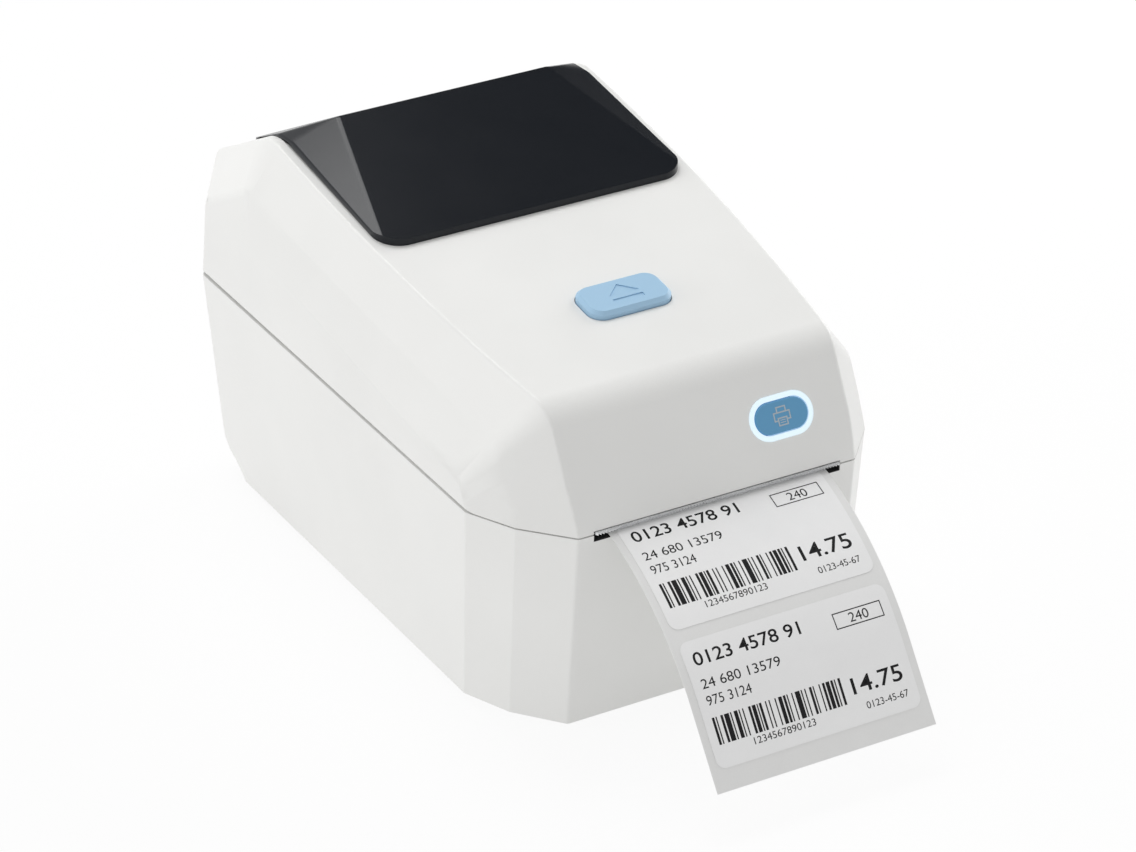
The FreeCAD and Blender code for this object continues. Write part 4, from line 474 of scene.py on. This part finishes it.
wedge = ((-wedge_half, wedge_low), (wedge_half, wedge_low), (0, wedge_high))
sill = ((-wedge_half, sill_low), (wedge_half, sill_low), (wedge_half, sill_high), (-wedge_half, sill_high))
bm = bmesh.new()
flat = [bm.faces.new([bm.verts.new((x, y, -sign_deep)) for x, y in form]) for form in (wedge, sill)]
thickened(bm, flat, (0, 0, cutter_tall))
bm.transform(on_key(open_middle, open_lean, open_proud))
cutter = placed("open_sign", mesh_of(bm, "open_sign"))
open_key = shape_piece(copy_of("open_button"), "open_key_cap", open_blue, "open_key")
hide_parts("open_button")
engraving = open_key.modifiers.new("engraving", "BOOLEAN")
engraving.operation = "DIFFERENCE"
engraving.solver = "EXACT"
engraving.object = cutter
cut_mesh = settled(open_key)
open_key.modifiers.remove(engraving)
open_key.data = cut_mesh
open_key.data.set_sharp_from_angle(angle=math.radians(crease_angle))
bpy.data.objects.remove(cutter)
coils("open_springs", "open_coils")


# Feed button: blue pill in a lit ring on the raked front, with a small printed machine sign.
# Moulded plastic key on a switch; the ring is frosted clear plastic lit from the button board behind.
feed_middle = Vector((0.0255, case_front + 0.0070194, foot_stand + 0.0845))
feed_lean = math.radians(62.7)
feed_proud = 0.0006
feed_blue = surface("feed blue", plastic, paint(93, 157, 199), 0.00002, 0.4, 2400.0)
coat(feed_blue, "feed_button")
light_ring = surface("light ring", plastic, paint(222, 238, 246), 0.00001, 0.35, 2600.0,
                     Emission_Color=paint(214, 234, 246), Emission_Strength=0.44)
coat(light_ring, "feed_ring")
sign_grey = surface("sign grey", plastic, paint(176, 188, 196), 0.00001, 0.5, 2600.0)


def flat_bar(bm, low, high):
    """Adds a flat rectangle between two corners and returns its face."""
    corners = bmesh.ops.create_grid(bm, x_segments=1, y_segments=1, size=0.5)["verts"]
    bmesh.ops.scale(bm, verts=corners, vec=(high[0] - low[0], high[1] - low[1], 1))
    bmesh.ops.translate(bm, verts=corners, vec=((low[0] + high[0]) / 2, (low[1] + high[1]) / 2, 0))
    return corners[0].link_faces[0]


def outlined(bm, low, high, line):
    """Adds a flat rectangular outline between two corners, its line inside them."""
    face = flat_bar(bm, low, high)
    bmesh.ops.inset_region(bm, faces=[face], thickness=line, use_boundary=True, use_even_offset=True)
    bmesh.ops.delete(bm, geom=[face], context="FACES_ONLY")


sign_line, sign_thick, sign_sunk = 0.00042, 0.00006, 0.00001
body_half, body_low, body_high = 0.0029, -0.0014, 0.0014
paper_half, paper_low, paper_high = 0.0017, -0.0029, -0.0003
tray_high = 0.0030
rule_half, rule_tall, rule_feet = 0.0009, 0.00025, (-0.0013, -0.0020)
bm = bmesh.new()
outlined(bm, (-paper_half, paper_low), (paper_half, paper_high), sign_line)
flat_bar(bm, (-body_half, body_high - sign_line), (body_half, body_high))
flat_bar(bm, (sign_line - paper_half, tray_high - sign_line), (paper_half - sign_line, tray_high))
for side in (-1, 1):
    flat_bar(bm, (side * (body_half - sign_line), body_low), (side * body_half, body_high - sign_line))
    flat_bar(bm, (side * paper_half, body_low), (side * (body_half - sign_line), body_low + sign_line))
    flat_bar(bm, (side * (paper_half - sign_line), body_high), (side * paper_half, tray_high))
for foot in rule_feet:
    flat_bar(bm, (-rule_half, foot), (rule_half, foot + rule_tall))
thickened(bm, bm.faces[:], (0, 0, sign_thick))
bm.transform(on_key(feed_middle, feed_lean, feed_proud - sign_sunk))
shape_piece(bm, "feed_sign", sign_grey, "feed_key")


# Label roll: liner with labels wound label-side out on a card core, 80 mm across.
# Glassine liner and thermal paper; the ends show the wound edges, a little uneven.
roll_middle = Vector((0, 0.079094, 0.060))
core_radius, roll_radius, liner_half = 0.0145, 0.040, 0.0375
winds, wind_gap, wind_slip, wind_phase = 30, 0.00005, 0.00012, 2.4
roll_steps, roll_crease = 96, 20


def paper_fibre():
    """Felted fibres, cloudy density and dull sheen of coated paper."""
    tree, given, results, place = skin_group("paper fibre", Fibre=1800.0)
    fibre = noise(tree, place, given["Fibre"], 5.0, 0.7)
    cloud = noise(tree, place, 120.0, 3.0)
    density = worked(tree, "MULTIPLY", spread(tree, fibre, 0.985, 1.01), spread(tree, cloud, 0.985, 1.01))
    colour = shaded(tree, given["Colour"], density)
    rough = worked(tree, "ADD", given["Roughness"], spread(tree, cloud, -0.05, 0.05))
    return filled(tree, results, colour, rough, fibre)


paper = paper_fibre()
liner_paper = surface("liner paper", paper, paint(235, 235, 234), 0.00001, 0.4, 1600.0)
label_paper = surface("label paper", paper, paint(246, 246, 246), 0.00001, 0.5, 2200.0)
card = surface("card", paper, paint(178, 150, 116), 0.00005, 0.8, 900.0)
coat(card, "roll_core")
wind_thick = (roll_radius - core_radius) / winds
outline = [(core_radius, -liner_half)]
for wind in range(winds):
    inner = core_radius + wind_thick * wind
    end = liner_half - wind_slip * (1 + math.sin(wind * wind_phase))
    outline += [(inner + wind_gap, -end), (inner + wind_thick - wind_gap, -end)]
outline += [(radius, -height) for radius, height in reversed(outline)]
bm = spun(outline + outline[:1], roll_middle, Vector((1, 0, 0)), roll_steps)
roll = shape_piece(bm, "wound_roll", liner_paper, "roll", roll_crease)
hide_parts("label_roll")


# Label strip: the web from the roll, under the rod, over the platen and out of the slot, with its labels.
# Grey glassine liner 75 mm wide with die-cut thermal labels 70 by 38 mm stuck on, 4 mm apart.
web_start = (0.0647958, 0.0976782)
web_heading = math.radians(200.785)
# Each run of the web: its length in mm and the angle in degrees that it turns through.
web_runs = ((81.9699, 0), (1.0881, -20.785), (62.0, 0), (5.0265, 18), (57.8053, 36), (26.0, 0))
web_long = sum(length for length, _ in web_runs) / 1000
web_slice, web_crease = 0.0012, 60
liner_thick = 0.0002
roll_bend = 0.0403


def on_web(x, along, lift):
    """Point of the web at a distance along it from the roll; below zero it is still on the roll."""
    y, z = web_start
    heading = web_heading
    rest = along
    if along < 0:
        heading += along / roll_bend
        y, z = roll_middle.y + roll_bend * math.sin(heading), roll_middle.z - roll_bend * math.cos(heading)
        rest = 0
    for length, turn in web_runs:
        step = min(rest, length / 1000)
        if step <= 0:
            break
        if turn:
            bend = length / 1000 / math.radians(turn)
            end = heading + step / bend
            y += bend * (math.sin(end) - math.sin(heading))
            z -= bend * (math.cos(end) - math.cos(heading))
            heading = end
        else:
            y += step * math.cos(heading)
            z += step * math.sin(heading)
        rest -= step
    return Vector((x, y + lift * math.sin(heading), z - lift * math.cos(heading)))


def laid(bm, start, end, step):
    """Slices a flat sheet across its length, then lays it along the web; x across, y along, z lift."""
    for cut in range(1, int((end - start) / step) + 1):
        bmesh.ops.bisect_plane(bm, geom=bm.verts[:] + bm.edges[:] + bm.faces[:], dist=1e-7,
                               plane_co=(0, start + cut * step, 0), plane_no=(0, 1, 0))
    for vert in bm.verts:
        vert.co = on_web(*vert.co)
    bm.normal_update()
    bmesh.ops.recalc_face_normals(bm, faces=bm.faces)


def sheet_of_paper(half, start, end, low, thick, corner=0.0):
    """Bmesh of a sheet with rounded corners, laid along the web."""
    bm = bmesh.new()
    corners = ((-half, start, low), (half, start, low), (half, end, low), (-half, end, low))
    points = [bm.verts.new(spot) for spot in corners]
    bm.faces.new(points)
    if corner:
        bmesh.ops.bevel(bm, geom=points, offset=corner, offset_type="OFFSET", segments=6, profile=0.5,
                        affect="VERTICES", material=-1)
    thickened(bm, bm.faces[:], (0, 0, thick))
    laid(bm, start, end, web_slice)
    return bm


bm = sheet_of_paper(liner_half, 0, web_long, 0, liner_thick)
strip = shape_piece(bm, "label_liner", liner_paper, "base", web_crease)
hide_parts("label_strip")

label_half, label_long, label_thick, label_corner = 0.035, 0.038, 0.0001, 0.003
label_pitch = 0.042
glue_thick = 0.00005
liner_tail = 0.0065
label_low, wound_low = liner_thick + glue_thick, -0.0003
last_label = web_long - liner_tail - label_long
printed_starts = (last_label, last_label - label_pitch)


def stuck_labels(starts, low, name, body):
    """One piece of several labels that start at the given places along the web."""
    bm = bmesh.new()
    for start in starts:
        merged(bm, sheet_of_paper(label_half, start, start + label_long, low, label_thick, label_corner))
    return shape_piece(bm, name, label_paper, body, web_crease)


labels = stuck_labels(printed_starts, label_low, "printed_labels", "base")
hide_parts("labels")
blank_starts = [printed_starts[1] - label_pitch * step for step in (1, 2, 3)]
blanks = stuck_labels(blank_starts, label_low, "blank_labels", "base")
wound_starts = [blank_starts[-1] - label_pitch * step for step in (2, 3, 4, 5)]
stuck_labels(wound_starts, wound_low, "wound_labels", "roll")


# Print on the labels: plain numbers, an outlined box and a bar pattern of no real code.
# Black image burnt into the coating by the print head; here a hair-thin black film on each label.
print_thick, print_slice = 0.00001, 0.002
thermal_black = surface("thermal black", paper, paint(14, 14, 16), 0.000005, 0.6, 2200.0,
                        Specular_IOR_Level=0.2)
bars = (2, 1, 1, 3, 2, 1, 4, 1, 1, 2, 3, 1, 1, 2, 1, 4, 2, 1, 3, 1, 1, 1, 2, 3, 1, 2, 1, 4, 1, 2,
        3, 1, 2, 1, 1, 3, 1, 2, 4, 1, 1, 2, 1, 3, 2, 1, 1, 4, 1, 2, 2, 1, 3, 1, 2, 1, 1, 2, 2)
bar_left, bar_right = -0.0323, 0.0112
bar_top, bar_bottom = 0.0231, 0.0312
bar_unit = (bar_right - bar_left) / sum(bars)
box_low, box_high, box_line = (0.0154, -0.0097), (0.0320, -0.0048), 0.00033
type_scale = 1.4
# Each line: the numbers, their height, left end, right end, foot below the label's top, weight.
number_lines = (("0123 4578 91", 0.0040, -0.0320, 0.0040, 0.0077, 0.00005),
                ("24 680 13579", 0.0029, -0.0322, -0.0056, 0.0146, 0.0),
                ("975 3124", 0.0029, -0.0322, -0.0172, 0.0196, 0.0),
                ("1234567890123", 0.0021, -0.0213, -0.0004, 0.0341, 0.0),
                ("14.75", 0.0050, 0.0143, 0.0315, 0.0292, 0.00006),
                ("0123-45-67", 0.0021, 0.0172, 0.0317, 0.0342, 0.0),
                ("240", 0.0029, 0.0205, 0.0271, 0.0087, 0.0))


def typed(bm, numbers, tall, left, right, foot, weight):
    """Adds a flat line of numbers, fitted to its height and its two ends."""
    writing = bpy.data.curves.new("numbers", "FONT")
    writing.body = numbers
    writing.size = tall * type_scale
    writing.offset = weight
    line = placed("numbers", writing)
    figures = settled(line)
    low = Vector(min(v.co[axis] for v in figures.vertices) for axis in range(3))
    high = Vector(max(v.co[axis] for v in figures.vertices) for axis in range(3))
    fit = Matrix.Diagonal(((right - left) / (high.x - low.x), tall / (high.y - low.y), 1, 1))
    figures.transform(Matrix.Translation((left, -foot, 0)) @ fit @ Matrix.Translation((-low.x, -low.y, 0)))
    bm.from_mesh(figures)
    bpy.data.objects.remove(line)
    bpy.data.curves.remove(writing)
    bpy.data.meshes.remove(figures)


film = bmesh.new()
for start in printed_starts:
    bm = bmesh.new()
    for number_line in number_lines:
        typed(bm, *number_line)
    outlined(bm, box_low, box_high, box_line)
    x = bar_left
    for place, wide in enumerate(bars):
        if place % 2 == 0:
            flat_bar(bm, (x, -bar_bottom), (x + wide * bar_unit, -bar_top))
        x += wide * bar_unit
    bmesh.ops.remove_doubles(bm, verts=bm.verts, dist=weld)
    thickened(bm, bm.faces[:], (0, 0, print_thick))
    turned = Matrix.Scale(-1, 4, (0, 1, 0))
    bm.transform(Matrix.Translation((0, start, label_low + label_thick)) @ turned)
    laid(bm, start, start + label_long, print_slice)
    merged(film, bm)
ink = shape_piece(film, "label_print", thermal_black, "base", web_crease)


# Floor, light and camera: pale sweep, soft boxes behind and at both sides, long lens from the front left.
# The floor and the world show white, and the floor is clear from below.
# A dark card that the camera can't see keeps the window cover's reflections dark.
floor_half, floor_white = 6.0, (0.9, 0.9, 0.9, 1)
# Share of glow in the floor and strength of the world: for lighting, then where they are seen.
floor_glow, world_glow = (0.42, 0.9), (0.6, 1.0)
lamp_aim = Vector((0, 0, 0.06))
card_half, card_far = (1.29, 2.0), 3.2
card_way = Vector((0.576, 0.596, 0.559))
card_dark, card_rough = (0.02, 0.02, 0.02, 1), 0.9
camera_way = Vector((0.43468, 0.75838, -0.48572))


def flat_sheet(name, half_wide, half_long):
    """Flat rectangle about the origin."""
    bm = bmesh.new()
    flat_bar(bm, (-half_wide, -half_long), (half_wide, half_long))
    return placed(name, mesh_of(bm, name))


def stage_finish(thing, name):
    """New material on a thing of the stage: its node tree and its output."""
    material = bpy.data.materials.new(name)
    material.use_nodes = True
    thing.data.materials.append(material)
    return material.node_tree, material.node_tree.nodes["Material Output"].inputs["Surface"]


def mixed(tree, share, first, second):
    """Mix of two shaders by a share socket."""
    node = tree.nodes.new("ShaderNodeMixShader")
    for slot, value in zip(node.inputs, (share, first, second)):
        tree.links.new(value, slot)
    return node.outputs["Shader"]


def when_seen(tree, lighting, shown):
    """Value that is shown for camera, glossy and transmission rays, and lighting for the rest."""
    rays = tree.nodes.new("ShaderNodeLightPath").outputs
    seen = worked(tree, "MAXIMUM", rays["Is Camera Ray"], rays["Is Glossy Ray"])
    seen = worked(tree, "MAXIMUM", seen, rays["Is Transmission Ray"])
    return spread(tree, seen, lighting, shown, 0.0, 1.0)


floor = flat_sheet("floor", floor_half, floor_half)
tree, finish = stage_finish(floor, "pale floor")
tree.nodes.remove(tree.nodes["Principled BSDF"])
matt = tree.nodes.new("ShaderNodeBsdfDiffuse")
matt.inputs["Color"].default_value = floor_white
glow = tree.nodes.new("ShaderNodeEmission")
glow.inputs["Color"].default_value = (1, 1, 1, 1)
above = mixed(tree, when_seen(tree, *floor_glow), matt.outputs["BSDF"], glow.outputs["Emission"])
below = tree.nodes.new("ShaderNodeBsdfTransparent").outputs["BSDF"]
from_below = tree.nodes.new("ShaderNodeNewGeometry").outputs["Backfacing"]
tree.links.new(mixed(tree, from_below, above, below), finish)

world = bpy.data.worlds.new("studio")
bpy.context.scene.world = world
world.use_nodes = True
sky = world.node_tree.nodes["Background"].inputs
sky["Color"].default_value = (1, 1, 1, 1)
world.node_tree.links.new(when_seen(world.node_tree, *world_glow), sky["Strength"])


def lamp(name, place, size, power):
    """Square soft box at a place, pointing at the object."""
    light = bpy.data.lights.new(name, "AREA")
    light.size = size
    light.energy = power
    box = placed(name, light)
    box.location = place
    box.rotation_euler = (lamp_aim - Vector(place)).to_track_quat("-Z", "Y").to_euler()


lamp("back_box", (0.062, 0.76, 1.45), 0.8, 9.6)
lamp("left_box", (-1.38, 0.42, 0.36), 0.9, 5.0)
lamp("right_box", (1.30, 0.45, 0.66), 0.9, 9.6)

flag = flat_sheet("dark_card", *card_half)
card_turn = card_way.to_track_quat("Z", "Y").to_matrix().to_4x4()
flag.data.transform(Matrix.Translation(card_way * card_far) @ card_turn)
tree, finish = stage_finish(flag, "dark card")
dark = tree.nodes["Principled BSDF"]
dark.inputs["Base Color"].default_value = card_dark
dark.inputs["Roughness"].default_value = card_rough
clear = tree.nodes.new("ShaderNodeBsdfTransparent").outputs["BSDF"]
to_camera = tree.nodes.new("ShaderNodeLightPath").outputs["Is Camera Ray"]
tree.links.new(mixed(tree, to_camera, dark.outputs["BSDF"], clear), finish)

lens = bpy.data.cameras.new("camera")
lens.lens = 145.3
lens.sensor_width = 36
camera = placed("camera", lens)
camera.location = (-0.6192, -1.0700, 0.7424)
camera.rotation_euler = camera_way.to_track_quat("-Z", "Y").to_euler()
bpy.context.scene.camera = camera
bpy.context.scene.view_settings.view_transform = "Standard"
